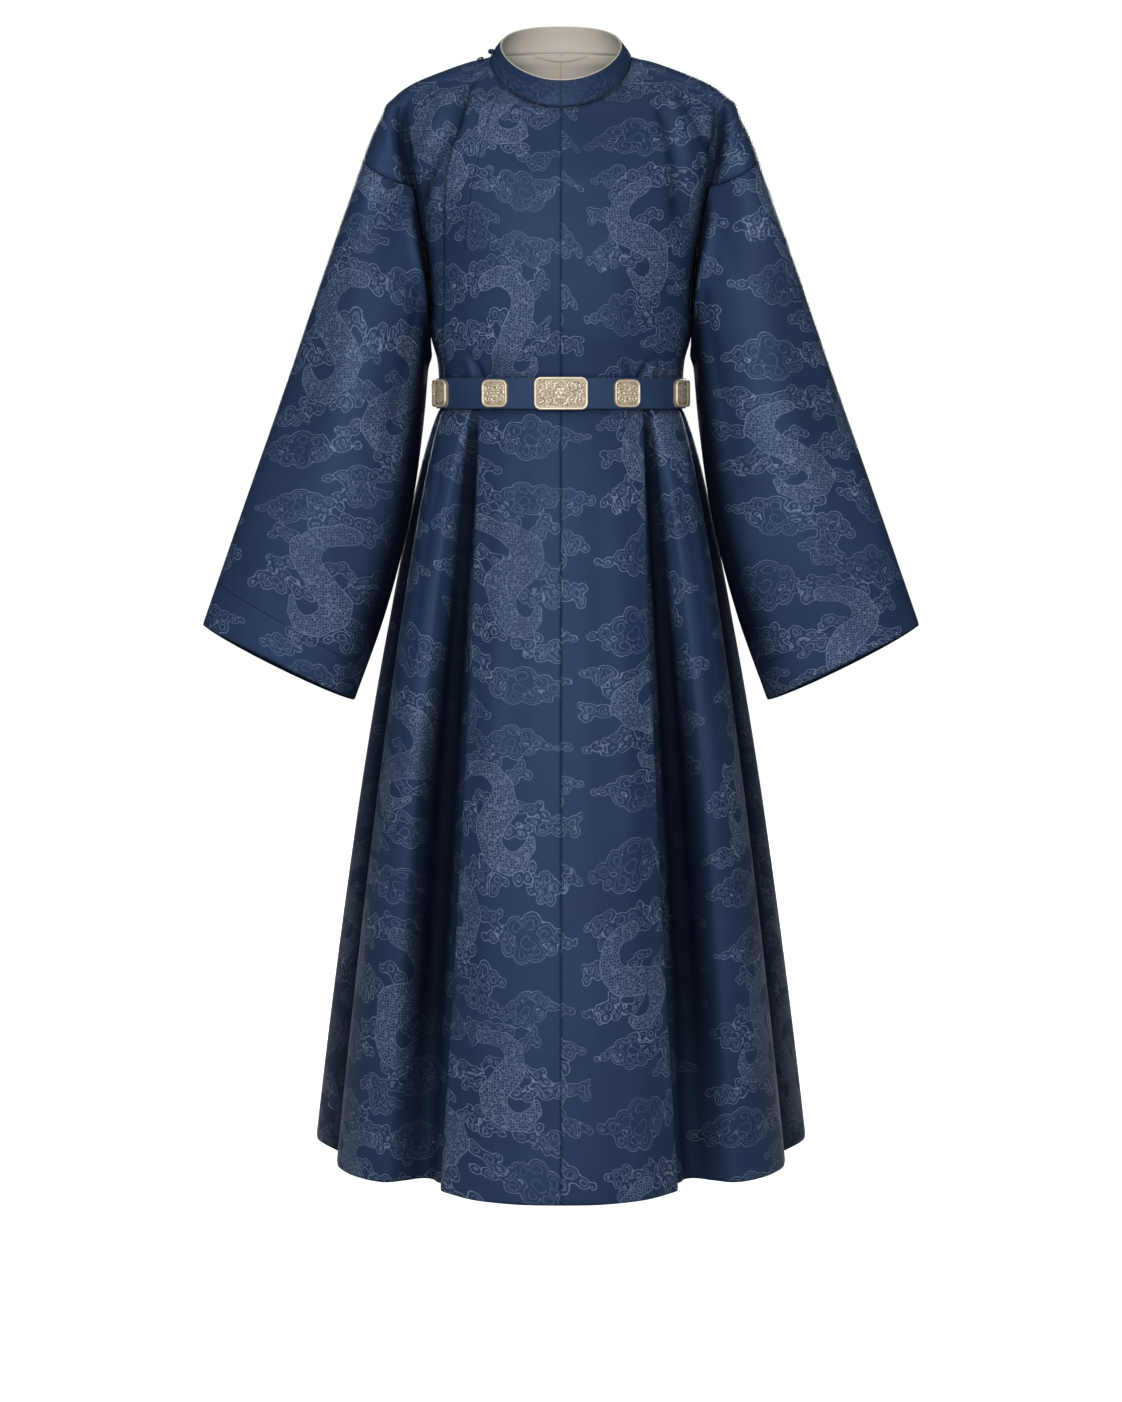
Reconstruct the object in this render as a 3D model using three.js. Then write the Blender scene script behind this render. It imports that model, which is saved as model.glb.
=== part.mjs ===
// Round-collar robe, worn form with no wearer: a Ming-style long robe of lined satin with wide hanging
// sleeves, a fastened belt with plaques, and a skirt with inverted pleats. Millimetres, +Z up, front to -Y,
// +X is the wearer's left. The origin is the centre of the neck at the height where shoulder meets collar.
import * as THREE from 'three';

// Driving dimensions
const CLOTH_WALL = 1.6;         // satin and its lining together
const SEAM_GAP = 0.3;           // clear space between two sewn pieces
const LAP_SINK = 2.3;           // how far the under front lies below the overlapping front
const HEM_Z = -1283;
const BELT_TOP_Z = -367;
const BELT_BOTTOM_Z = -402;
const BELT_MID_Z = -384;        // level under the belt where the flat waist turns into pleats
const SEAM_LEVEL_Z = -150;      // front and back end of the visible sleeve seam
const SEAM_TOP_Z = -113;        // top of the sleeve seam, on the outer arm
const ARMPIT_Z = -318;
const WAIST = { halfWidth: 141.5, front: 101.5, back: 98.5 };
const NECK = { halfWidth: 81, front: 78, back: 72, frontZ: -64, backZ: 11 };
const COLLAR = { halfWidth: 70, front: 70, back: 68, frontZ: -34, backZ: 41, sideRise: 9, wall: 1.3 };
const COLLAR_FOOT = 0.35;       // the collar's foot stands this far above the neckline
const COLLAR_BULGE = 1.5;       // how far the band swells between its foot and rim
const LINING_GAP = 0.35;
const LINING_WALL = 0.9;
const LINING_RISE = 1.03;       // the collar's lining stands a little above its rim
const NECK_LINING_ROWS = 3;
const TAB = { width: 64, height: 7, endHeight: 1, top: 1.2, wall: 0.8 };
const BELT = { clearance: 1, wall: 2.6 };
const PLAQUE_FORM = { edge: 3.6, wall: 5, field: 3.8, rim: 3.2, corner: 8 };
const SQUARE = { width: 31, height: 32, fieldLines: [-4, 4] };
const PLAQUES = [
  { name: 'belt_plaque_front', degrees: 0, width: 60, height: 37.5, fieldLines: [-15.5, -5.5, 5.5, 15.5] },
  { name: 'belt_plaque_left_1', degrees: 31, ...SQUARE },
  { name: 'belt_plaque_left_2', degrees: 71, ...SQUARE },
  { name: 'belt_plaque_left_3', degrees: 98, ...SQUARE },
  { name: 'belt_plaque_right_1', degrees: -31, ...SQUARE },
  { name: 'belt_plaque_right_2', degrees: -71, ...SQUARE },
  { name: 'belt_plaque_right_3', degrees: -98, ...SQUARE },
];
const KNOT = { radius: 3.9, degrees: 86, up: 0.42, stand: -0.1, squash: 0.92 };
const LOOP = { radius: 3.2, cord: 0.9, centre: [-92.6, -5.4, -3.2], facing: [-0.35, -0.45, 0.85] };
const LAP_ANGLE = 78;           // where the overlap's edge meets the neckline, degrees from the front
const FOLD_ANGLE = 85;          // where the arm fold starts at the neckline
const FLARE_POWER = 0.78;       // how soon below the belt the skirt spreads
const NECK_BLEND = 0.4;         // share of the way down over which the body meets the neckline
const SHOULDER_CROWDING = 0.6;  // how much closer the rows lie beside the neck
const MID_FLARE = 0.485;        // spread of the skirt at the level of the table's middle columns
const GATHER_Z = -300;          // below this the columns draw together toward the pleats
const CAP_SOFTNESS = 0.35;      // how far the sleeve seam eases into its top and its ends
const RIM_SHARE = 0.6;          // share of the seam gap that each wall's rim keeps back
const OVAL_POWER = 0.9;         // fullness of the sleeve's section
const SLEEVE_CROWDING = 1.15;   // how much closer the sleeve's rows lie near the armhole
const ARMHOLE_FADE = 0.42;      // share of the sleeve over which it leaves the armhole's form
const SKIRT_CROWDING = 1.1;     // how much closer the skirt's rows lie near the belt
const COLLAR_STEP = 0.02;       // angle used to find the band's direction

// Columns of the front, counted from the centre seam: the overlap's edge and the side
const LAP_COLUMN = 15;
const SIDE_COLUMN = 18;
const CAP_COLUMNS = 4;          // from the arm fold to the shoulder's ridge
const NECK_ROWS = 8;            // neckline to sleeve seam
const ARM_ROWS = 5;             // sleeve seam to armpit
const WAIST_ROWS = 3;           // armpit to the level under the belt
const SKIRT_ROWS = 9;           // belt to hem
const SLEEVE_ROWS = 9;

// Upper body by height. outer: half width over the sleeves; fold: the valley between body and arm;
// lap: the overlap's edge; body: half width of the body alone; round: exponent of its section;
// cap: how far the arm stands out beyond the valley.
const TORSO = [
  { z: 11, outer: 81, fold: 80, lap: 79, body: 81, front: 4, back: 72, round: 2.2, cap: 0 },
  { z: 0, outer: 84, fold: 80.5, lap: 79, body: 84, front: 8, back: 75, round: 2.2, cap: 0 },
  { z: -6, outer: 107, fold: 86, lap: 79, body: 107, front: 13, back: 78, round: 2.2, cap: 0 },
  { z: -17, outer: 137, fold: 107, lap: 84, body: 137, front: 25, back: 83, round: 2.3, cap: 1 },
  { z: -31, outer: 170, fold: 138, lap: 95, body: 170, front: 40, back: 88, round: 2.3, cap: 2 },
  { z: -45, outer: 190, fold: 163, lap: 103, body: 190, front: 57, back: 92, round: 2.3, cap: 4 },
  { z: -64, outer: 204, fold: 178, lap: 110, body: 198, front: 78, back: 97, round: 2.3, cap: 8 },
  { z: -94, outer: 219, fold: 180, lap: 118, body: 196, front: 92, back: 103, round: 2.4, cap: 15 },
  { z: -130, outer: 233, fold: 174, lap: 127, body: 184, front: 104, back: 107, round: 2.4, cap: 22 },
  { z: -150, outer: 241, fold: 170, lap: 130, body: 177, front: 109, back: 108, round: 2.4, cap: 25 },
  { z: -220, outer: 266, fold: 158, lap: 132, body: 162, front: 118, back: 109, round: 2.4, cap: 26 },
  { z: -270, outer: 284, fold: 153, lap: 133, body: 154.5, front: 117, back: 106, round: 2.3, cap: 26 },
  { z: -318, outer: 301, fold: 151, lap: 136, body: 151, front: 112, back: 103, round: 2.2, cap: 26 },
  { z: -345, outer: 301, fold: 144, lap: 134, body: 144, front: 106, back: 100, round: 2.1, cap: 26 },
  { z: -366, outer: 301, fold: 142, lap: 132, body: 142, front: 102, back: 98.8, round: 2, cap: 26 },
  { z: -384, outer: 301, fold: 141.5, lap: 131, body: 141.5, front: 101.5, back: 98.5, round: 2, cap: 26 },
];

// Sleeve from armhole to cuff. outer: the line over the arm; inner: the line under it;
// depth: half thickness; forward: how far the sleeve hangs in front of the shoulder.
const SLEEVE = [
  { t: 0, outerX: 227, outerZ: -113, innerX: 151, innerZ: -318, depth: 58, forward: 0 },
  { t: 0.25, outerX: 274, outerZ: -247, innerX: 160, innerZ: -424, depth: 62, forward: 11 },
  { t: 0.5, outerX: 319.5, outerZ: -382, innerX: 175.5, innerZ: -530, depth: 60, forward: 27 },
  { t: 0.75, outerX: 367.5, outerZ: -517, innerX: 203, innerZ: -636, depth: 56, forward: 37 },
  { t: 1, outerX: 415, outerZ: -651, innerX: 239.5, innerZ: -738, depth: 52, forward: 42 },
];

// Plan of half the skirt's front at the belt, about half way down and at the hem, a row for each
// fold, from the centre seam to the side edge. flat: the same column on the smooth waist above.
// The centre panel folds back under itself and comes out again as the strip beside the valley.
const FRONT_SKIRT = [
  { at: 'centre', flat: 0, beltX: 0, beltY: -101, midX: 0, midY: -172, hemX: 0, hemY: -243 },
  { at: 'panel', flat: 30, beltX: 32, beltY: -98.6, midX: 36, midY: -170, hemX: 46, hemY: -240 },
  { at: 'panel', flat: 56, beltX: 64, beltY: -90, midX: 72, midY: -160, hemX: 93, hemY: -223 },
  { at: 'pleat edge', flat: 72, beltX: 91, beltY: -77.4, midX: 102, midY: -139, hemX: 132, hemY: -190 },
  { at: 'pleat nose', flat: 79, beltX: 93.4, beltY: -73.4, midX: 106, midY: -132, hemX: 137, hemY: -181 },
  { at: 'turned under', flat: 84, beltX: 91, beltY: -70.8, midX: 101, midY: -127, hemX: 131, hemY: -174 },
  { at: 'under fold', flat: 88, beltX: 80, beltY: -75, midX: 85, midY: -135, hemX: 111, hemY: -187 },
  { at: 'inner nose', flat: 92, beltX: 77, beltY: -71.5, midX: 80, midY: -129, hemX: 105, hemY: -179 },
  { at: 'inner fold', flat: 96, beltX: 80, beltY: -68, midX: 85, midY: -121, hemX: 111, hemY: -167 },
  { at: 'strip', flat: 100, beltX: 91, beltY: -65, midX: 106, midY: -112, hemX: 139, hemY: -152 },
  { at: 'strip', flat: 104, beltX: 95, beltY: -63, midX: 119, midY: -98, hemX: 151, hemY: -140 },
  { at: 'valley', flat: 108, beltX: 98.5, beltY: -63, midX: 130, midY: -89, hemX: 163, hemY: -136 },
  { at: 'side panel', flat: 112, beltX: 103, beltY: -67, midX: 141, midY: -99, hemX: 178, hemY: -141 },
  { at: 'crest', flat: 117, beltX: 110.5, beltY: -62.4, midX: 157, midY: -112, hemX: 199, hemY: -148 },
  { at: 'side panel', flat: 124, beltX: 119, beltY: -54, midX: 174, midY: -108, hemX: 222, hemY: -139 },
  { at: 'side panel', flat: 131, beltX: 126.5, beltY: -45, midX: 187, midY: -93, hemX: 243, hemY: -118 },
  { at: 'side panel', flat: 135.5, beltX: 131.5, beltY: -37, midX: 196, midY: -72, hemX: 258, hemY: -91 },
  { at: 'side panel', flat: 139.5, beltX: 134, beltY: -32, midX: 199.5, midY: -60, hemX: 262.5, hemY: -74 },
  { at: 'side edge', flat: 141.5, beltX: 135.5, beltY: -28, midX: 200, midY: -50, hemX: 264, hemY: -60 },
];

// The back panel's side, from its edge tucked behind the front panel round to its first pleat
const BACK_SIDE = [
  { at: 'tucked edge', flat: 141.5, beltX: 131, beltY: -22, midX: 189, midY: -42, hemX: 234, hemY: -68 },
  { at: 'side', flat: 141.3, beltX: 137.5, beltY: -11, midX: 207, midY: -20, hemX: 264, hemY: -18 },
  { at: 'side', flat: 140, beltX: 140.6, beltY: 0, midX: 218, midY: 2, hemX: 289, hemY: 24 },
  { at: 'outline', flat: 137, beltX: 140, beltY: 12, midX: 223, midY: 26, hemX: 300, hemY: 55 },
  { at: 'side', flat: 132, beltX: 135, beltY: 28, midX: 217, midY: 54, hemX: 293, hemY: 92 },
  { at: 'side', flat: 125, beltX: 125, beltY: 44, midX: 199, midY: 82, hemX: 266, hemY: 124 },
];
const BACK_DEPTH = { belt: 0.97, mid: 0.92, hem: 0.89 };   // back pleats against the front's
const BACK_PLEAT_COLUMNS = 14;  // columns of the front table that the back repeats, mirrored
const BACK_COLUMNS = BACK_SIDE.length + BACK_PLEAT_COLUMNS - 1;
const LEFT_PLEAT_SHIFT = -4;    // the wearer's left pleat hangs this much nearer the centre at the hem

const radians = (degrees) => (degrees * Math.PI) / 180;
const mix = (a, b, t) => a + (b - a) * t;
const ease = (t) => { const c = Math.min(1, Math.max(0, t)); return c * c * (3 - 2 * c); };

// Smooth reading of one column of a table whose rows run one way in `key`
function read(table, key, column, at) {
  const up = table[table.length - 1][key] > table[0][key] ? 1 : -1;
  let i = 0;
  while (i < table.length - 2 && (at - table[i + 1][key]) * up > 0) i += 1;
  const slope = (k) => {
    const a = table[Math.max(0, k - 1)];
    const b = table[Math.min(table.length - 1, k + 1)];
    return (b[column] - a[column]) / (b[key] - a[key]);
  };
  const step = table[i + 1][key] - table[i][key];
  const t = Math.min(1, Math.max(0, (at - table[i][key]) / step));
  const a = table[i][column];
  const b = table[i + 1][column];
  const chord = (b - a) / step;
  const limit = (s) => (s * chord <= 0 ? 0 : Math.sign(s) * Math.min(Math.abs(s), 3 * Math.abs(chord)));
  const left = limit(slope(i)) * step;
  const right = limit(slope(i + 1)) * step;
  return a + t * (left + t * (3 * (b - a) - 2 * left - right + t * (left + right - 2 * (b - a))));
}

const torso = (column, z) => read(TORSO, 'z', column, z);

// Depth of the body's section at a place: how far it stands out to the front or the back
function bodyDepth(x, z, face) {
  const share = Math.min(1, Math.abs(x) / torso('body', z));
  return torso(face, z) * Math.sqrt(Math.max(0, 1 - share ** torso('round', z)));
}

// A point of the neckline, by the angle from its centre at the front or the back
function neckline(angle, face) {
  const cos = Math.cos(angle);
  const x = NECK.halfWidth * Math.sin(angle);
  if (face === 'front') return new THREE.Vector3(x, -NECK.front * cos, NECK.frontZ * cos);
  return new THREE.Vector3(x, NECK.back * cos, NECK.backZ * cos);
}

// Where a column of the upper body starts on the neckline, and its half width at a height
function neckAngle(face, column) {
  const lap = radians(LAP_ANGLE);
  const fold = radians(FOLD_ANGLE);
  if (face === 'back') return fold * (1 - column / BACK_COLUMNS);
  if (column <= LAP_COLUMN) return (lap * column) / LAP_COLUMN;
  return mix(lap, fold, (column - LAP_COLUMN) / (SIDE_COLUMN - LAP_COLUMN));
}

function columnX(face, column, z) {
  const gather = ease((z - GATHER_Z) / (BELT_MID_Z - GATHER_Z));
  if (face === 'back') {
    const flat = backRow(Math.round(column)).flat / WAIST.halfWidth;
    const even = Math.sin((1 - column / BACK_COLUMNS) * Math.PI / 2);
    return torso('fold', z) * mix(even, flat, gather);
  }
  const lap = torso('lap', z);
  if (column <= LAP_COLUMN) {
    const flat = FRONT_SKIRT[column].flat / FRONT_SKIRT[LAP_COLUMN].flat;
    return lap * mix(column / LAP_COLUMN, flat, gather);
  }
  const share = (column - LAP_COLUMN) / (SIDE_COLUMN - LAP_COLUMN);
  return mix(lap, torso('fold', z), Math.sin(share * Math.PI / 2) * 0.5 + share * 0.5);
}

// A point of the upper body. `fall` is 0 at the neckline and 1 at the level of the sleeve seam; near
// the neckline the surface is drawn onto the neckline itself.
function upperPoint(face, column, z, fall) {
  const sign = face === 'front' ? -1 : 1;
  const neck = neckline(neckAngle(face, column), face);
  const near = 1 - ease(fall / NECK_BLEND);
  const x = columnX(face, column, z) + near * (neck.x - columnX(face, column, neck.z));
  const y = sign * bodyDepth(x, z, face) + near * (neck.y - sign * bodyDepth(neck.x, neck.z, face));
  return new THREE.Vector3(x, y, z);
}

// Height of a row between a neckline point and the seam level: the rows are closer near the neck on
// the shoulder, where the slope is shallow
function fallHeight(angle, neckZ, endZ, fall) {
  const power = 1 + SHOULDER_CROWDING * Math.sin(angle) ** 4;
  return mix(neckZ, endZ, fall ** power);
}

// A point of the shoulder cap, from the arm fold (share 0) to the shoulder's ridge (share 1)
function capPoint(face, share, row) {
  const sign = face === 'front' ? -1 : 1;
  const angle = mix(radians(FOLD_ANGLE), Math.PI / 2, share);
  const neck = neckline(angle, face);
  const fall = row / NECK_ROWS;
  const seamZ = mix(SEAM_LEVEL_Z, SEAM_TOP_Z, mix(share, ease(share), CAP_SOFTNESS));
  const turn = share * Math.PI / 2;
  const foldColumn = face === 'front' ? SIDE_COLUMN : 0;
  const at = (z, part) => {
    const fold = upperPoint(face, foldColumn, z, part);
    const x = mix(fold.x, torso('outer', z), Math.sin(turn));
    const y = sign * (Math.abs(fold.y) * Math.cos(turn) + torso('cap', z) * Math.sin(2 * turn));
    return new THREE.Vector3(x, y, z);
  };
  const p = at(fallHeight(angle, neck.z, seamZ, fall), fall);
  const start = at(neck.z, 0);
  return p.addScaledVector(neck.sub(start), 1 - ease(fall / NECK_BLEND));
}

// Rows of the skirt's plan
function backRow(column) {
  if (column < BACK_SIDE.length) return BACK_SIDE[column];
  const row = FRONT_SKIRT[BACK_PLEAT_COLUMNS - 1 - (column - BACK_SIDE.length)];
  return {
    at: row.at, flat: row.flat,
    beltX: row.beltX, beltY: -row.beltY * BACK_DEPTH.belt,
    midX: row.midX, midY: -row.midY * BACK_DEPTH.mid,
    hemX: row.hemX, hemY: -row.hemY * BACK_DEPTH.hem,
  };
}

function skirtPoint(face, column, fall, side) {
  const row = face === 'front' ? FRONT_SKIRT[column] : backRow(column);
  const spread = fall ** FLARE_POWER;
  const through = (belt, mid, hem) => {
    const bow = (mid - mix(belt, hem, MID_FLARE)) / (MID_FLARE * (1 - MID_FLARE));
    return mix(belt, hem, spread) + bow * spread * (1 - spread);
  };
  const shift = side > 0 ? LEFT_PLEAT_SHIFT * spread * Math.sin(Math.PI * Math.min(1, row.hemX / FRONT_SKIRT[SIDE_COLUMN].hemX)) : 0;
  const x = through(row.beltX, row.midX, row.hemX) + shift;
  const y = through(row.beltY, row.midY, row.hemY);
  return new THREE.Vector3(x, y, mix(BELT_BOTTOM_Z, HEM_Z, fall));
}

// Rows from neckline to hem: each gives the point of a column of the front or back
const UPPER_ROWS = NECK_ROWS + ARM_ROWS + WAIST_ROWS;
const ALL_ROWS = UPPER_ROWS + 1 + SKIRT_ROWS;

function panelPoint(face, column, row, side) {
  let p;
  if (row <= UPPER_ROWS) {
    const neck = neckline(neckAngle(face, column), face);
    let z = fallHeight(neckAngle(face, column), neck.z, SEAM_LEVEL_Z, Math.min(1, row / NECK_ROWS));
    if (row > NECK_ROWS) z = mix(SEAM_LEVEL_Z, ARMPIT_Z, (row - NECK_ROWS) / ARM_ROWS);
    if (row > NECK_ROWS + ARM_ROWS) z = mix(ARMPIT_Z, BELT_MID_Z, (row - NECK_ROWS - ARM_ROWS) / WAIST_ROWS);
    p = upperPoint(face, column, z, Math.min(1, row / NECK_ROWS));
  } else {
    p = skirtPoint(face, column, ((row - UPPER_ROWS - 1) / SKIRT_ROWS) ** SKIRT_CROWDING, side);
  }
  p.x *= side;
  return p;
}

// The sleeve's section is an oval in the plane through its outer and inner line. Its first ring is
// the armhole: seam over the shoulder cap, then the fold down to the armpit, front and back.
const RING_HALF = CAP_COLUMNS + ARM_ROWS;

function armholePoint(around) {
  const face = around <= RING_HALF ? 'front' : 'back';
  const step = around <= RING_HALF ? around : 2 * RING_HALF - around;
  if (step <= CAP_COLUMNS) return capPoint(face, 1 - step / CAP_COLUMNS, NECK_ROWS);
  const column = face === 'front' ? SIDE_COLUMN : 0;
  return panelPoint(face, column, NECK_ROWS + step - CAP_COLUMNS, 1);
}

function sleeveSection(around, t) {
  const turn = (around / RING_HALF) * Math.PI;
  const line = (column) => read(SLEEVE, 't', column, t);
  const along = (1 - Math.cos(turn)) / 2;
  const out = Math.sin(turn);
  return new THREE.Vector3(
    mix(line('outerX'), line('innerX'), along),
    -line('depth') * Math.sign(out) * Math.abs(out) ** OVAL_POWER - line('forward'),
    mix(line('outerZ'), line('innerZ'), along),
  );
}

function sleevePoint(around, row, side) {
  const t = (row / SLEEVE_ROWS) ** SLEEVE_CROWDING;
  const p = sleeveSection(around, t);
  const rest = 1 - ease(t / ARMHOLE_FADE);
  p.addScaledVector(armholePoint(around).sub(sleeveSection(around, 0)), rest);
  p.x *= side;
  return p;
}

// The whole skin of the robe: panels share their seam points, so that the two walls that meet at a
// seam of the body are turned alike. Each face carries the name of its panel.
class Skin {
  constructor() {
    this.points = [];
    this.faces = [];
    this.index = new Map();
    this.columns = new Map();
  }

  point(p, column) {
    const key = [p.x, p.y, p.z].map((v) => Math.round(v * 50)).join();
    if (!this.index.has(key)) {
      this.index.set(key, this.points.length);
      this.points.push(p);
    }
    const id = this.index.get(key);
    if (column !== undefined) this.columns.set(id, column);
    return id;
  }

  // A grid of quads, each cut from its first corner or else from its second. `outward` false turns
  // the faces over, for the mirrored side.
  grid(panel, rows, columns, at, outward, firstCorner = 0) {
    const ids = rows.map((row) => columns.map((column) => this.point(at(row, column), column)));
    for (let i = 0; i + 1 < rows.length; i += 1) {
      for (let j = 0; j + 1 < columns.length; j += 1) {
        const quad = [ids[i][j], ids[i + 1][j], ids[i + 1][j + 1], ids[i][j + 1]];
        const corner = (k) => quad[(k + firstCorner) % 4];
        for (const half of [[corner(0), corner(1), corner(2)], [corner(0), corner(2), corner(3)]]) {
          this.face(panel, outward ? half : half.reverse(), rows[i], columns[j]);
        }
      }
    }
  }

  face(panel, ids, row, column) {
    if (new Set(ids).size === 3) this.faces.push({ panel, ids, row, column });
  }

  // Normals at the points, from the faces that `chosen` accepts
  normals(chosen) {
    const sum = this.points.map(() => new THREE.Vector3());
    for (const { ids } of this.faces.filter(chosen)) {
      const [a, b, c] = ids.map((id) => this.points[id]);
      const n = new THREE.Vector3().subVectors(b, a).cross(new THREE.Vector3().subVectors(c, a));
      ids.forEach((id) => sum[id].add(n));
    }
    return sum.map((n) => n.normalize());
  }
}

// Closed wall from some faces of a skin: each point is sunk below the skin by sink(id), and the wall
// goes inward from there. Edges that only one face uses get a narrow side wall and keep the seam gap.
function wallFrom(skin, normals, faces, thickness, sink = () => 0) {
  const used = [...new Set(faces.flatMap((f) => f.ids))];
  const local = new Map(used.map((id, i) => [id, i]));
  const edges = new Map();
  for (const { ids } of faces) {
    for (let k = 0; k < 3; k += 1) edges.set(`${ids[k]},${ids[(k + 1) % 3]}`, [ids[k], ids[(k + 1) % 3]]);
  }
  const rim = [...edges.values()].filter(([a, b]) => !edges.has(`${b},${a}`));
  const inward = new Map();
  for (const [a, b] of rim) {
    const along = new THREE.Vector3().subVectors(skin.points[b], skin.points[a]).normalize();
    for (const id of [a, b]) {
      const pull = new THREE.Vector3().crossVectors(normals[id], along).normalize();
      inward.set(id, (inward.get(id) || new THREE.Vector3()).add(pull));
    }
  }
  const vertices = [];
  for (const id of used) {
    const p = skin.points[id].clone().addScaledVector(normals[id], -sink(id));
    const pull = inward.get(id);
    if (pull && pull.length() > 0.1) p.addScaledVector(pull.normalize(), SEAM_GAP * RIM_SHARE);
    vertices.push([p, p.clone().addScaledVector(normals[id], -thickness)]);
  }
  const position = [];
  const triangle = (...corners) => corners.forEach((c) => position.push(c.x, c.y, c.z));
  for (const { ids } of faces) {
    const [a, b, c] = ids.map((id) => vertices[local.get(id)]);
    triangle(a[0], b[0], c[0]);
    triangle(c[1], b[1], a[1]);
  }
  for (const [i, j] of rim) {
    const a = vertices[local.get(i)];
    const b = vertices[local.get(j)];
    triangle(b[0], a[0], a[1]);
    triangle(b[0], a[1], b[1]);
  }
  const geometry = new THREE.BufferGeometry();
  geometry.setAttribute('position', new THREE.Float32BufferAttribute(position, 3));
  return geometry;
}

const robe = new THREE.Group();
const SATIN = new THREE.MeshStandardMaterial({ color: '#26385a', roughness: 0.42, metalness: 0 });
const LINING = new THREE.MeshStandardMaterial({ color: '#c9c0b2', roughness: 0.7, metalness: 0 });
const STRAP = new THREE.MeshStandardMaterial({ color: '#1c2a47', roughness: 0.5, metalness: 0 });
const PLAQUE = new THREE.MeshStandardMaterial({ color: '#c6b183', roughness: 0.35, metalness: 0.7 });

function add(name, geometry, material) {
  const mesh = new THREE.Mesh(geometry, material);
  mesh.name = name;
  robe.add(mesh);
}

const steps = (from, to) => Array.from({ length: to - from + 1 }, (_, i) => from + i);

// Body, sleeves and their panels. side +1 is the wearer's left.
const skin = new Skin();
for (const side of [1, -1]) {
  const hand = side > 0 ? 'left' : 'right';
  const outward = side > 0;
  const front = (row, column) => panelPoint('front', column, row, side);
  const back = (row, column) => panelPoint('back', column, row, side);
  const cap = (face) => (row, step) => {
    const p = capPoint(face, step / CAP_COLUMNS, row);
    p.x *= side;
    return p;
  };
  skin.grid(`front_${hand}`, steps(0, ALL_ROWS), steps(0, SIDE_COLUMN), front, outward);
  skin.grid(`front_cap_${hand}`, steps(0, NECK_ROWS), steps(0, CAP_COLUMNS), cap('front'), outward);
  skin.grid(`back_${hand}`, steps(0, ALL_ROWS), steps(0, BACK_COLUMNS), back, outward, 1);
  skin.grid(`back_cap_${hand}`, steps(0, NECK_ROWS), steps(0, CAP_COLUMNS), cap('back'), !outward);
  skin.grid(`sleeve_${hand}`, steps(0, SLEEVE_ROWS), steps(0, 2 * RING_HALF),
    (row, around) => sleevePoint(around, row, side), !outward);
}
const isSleeve = (f) => f.panel.startsWith('sleeve');
const normals = skin.normals((f) => !isSleeve(f));
const sleeveNormals = skin.normals(isSleeve);
const panel = (...names) => skin.faces.filter((f) => names.includes(f.panel));

add('front_left', wallFrom(skin, normals, panel('front_left', 'front_cap_left'), CLOTH_WALL), SATIN);
add('back_left', wallFrom(skin, normals, panel('back_left', 'back_cap_left'), CLOTH_WALL), SATIN);
add('back_right', wallFrom(skin, normals, panel('back_right', 'back_cap_right'), CLOTH_WALL), SATIN);
add('sleeve_left', wallFrom(skin, sleeveNormals, panel('sleeve_left'), CLOTH_WALL), SATIN);
add('sleeve_right', wallFrom(skin, sleeveNormals, panel('sleeve_right'), CLOTH_WALL), SATIN);

// The wearer's right front: the overlapping front ends at the lap line above the belt, and the
// under front shows from there to the shoulder and side, tucked one column behind the overlap.
const right = panel('front_right');
const overlap = right.filter((f) => f.column < LAP_COLUMN || f.row >= UPPER_ROWS);
const under = right.filter((f) => f.column >= LAP_COLUMN - 1 && f.row < UPPER_ROWS);
const lapSink = (id) => (skin.columns.get(id) <= LAP_COLUMN ? LAP_SINK : 0);
add('front_overlap', wallFrom(skin, normals, overlap, CLOTH_WALL), SATIN);
add('front_under', wallFrom(skin, normals, under.concat(panel('front_cap_right')), CLOTH_WALL,
  (id) => (under.some((f) => f.ids.includes(id)) ? lapSink(id) : 0)), SATIN);

// Ring surfaces about the neck and the waist. A plate on them is a grid of places, each with an outer
// and an inner point, closed all round its rim, or a full ring when the last column is the first.
function slab(rows, columns, outer, inner, ring) {
  const position = [];
  const triangle = (...corners) => corners.forEach((c) => position.push(c.x, c.y, c.z));
  const quad = (a, b, c, d) => {
    triangle(a, b, c);
    triangle(a, c, d);
  };
  const last = columns - 1;
  const column = (j) => (ring && j === last ? 0 : j);
  const o = (i, j) => outer(i / (rows - 1), column(j) / last);
  const n = (i, j) => inner(i / (rows - 1), column(j) / last);
  for (let i = 0; i + 1 < rows; i += 1) {
    for (let j = 0; j < last; j += 1) {
      quad(o(i, j), o(i, j + 1), o(i + 1, j + 1), o(i + 1, j));
      quad(n(i, j), n(i + 1, j), n(i + 1, j + 1), n(i, j + 1));
    }
  }
  for (let j = 0; j < last; j += 1) {
    quad(n(0, j), n(0, j + 1), o(0, j + 1), o(0, j));
    quad(o(rows - 1, j), o(rows - 1, j + 1), n(rows - 1, j + 1), n(rows - 1, j));
  }
  if (!ring) {
    for (let i = 0; i + 1 < rows; i += 1) {
      quad(o(i, 0), o(i + 1, 0), n(i + 1, 0), n(i, 0));
      quad(n(i, last), n(i + 1, last), o(i + 1, last), o(i, last));
    }
  }
  const geometry = new THREE.BufferGeometry();
  geometry.setAttribute('position', new THREE.Float32BufferAttribute(position, 3));
  return geometry;
}

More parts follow.
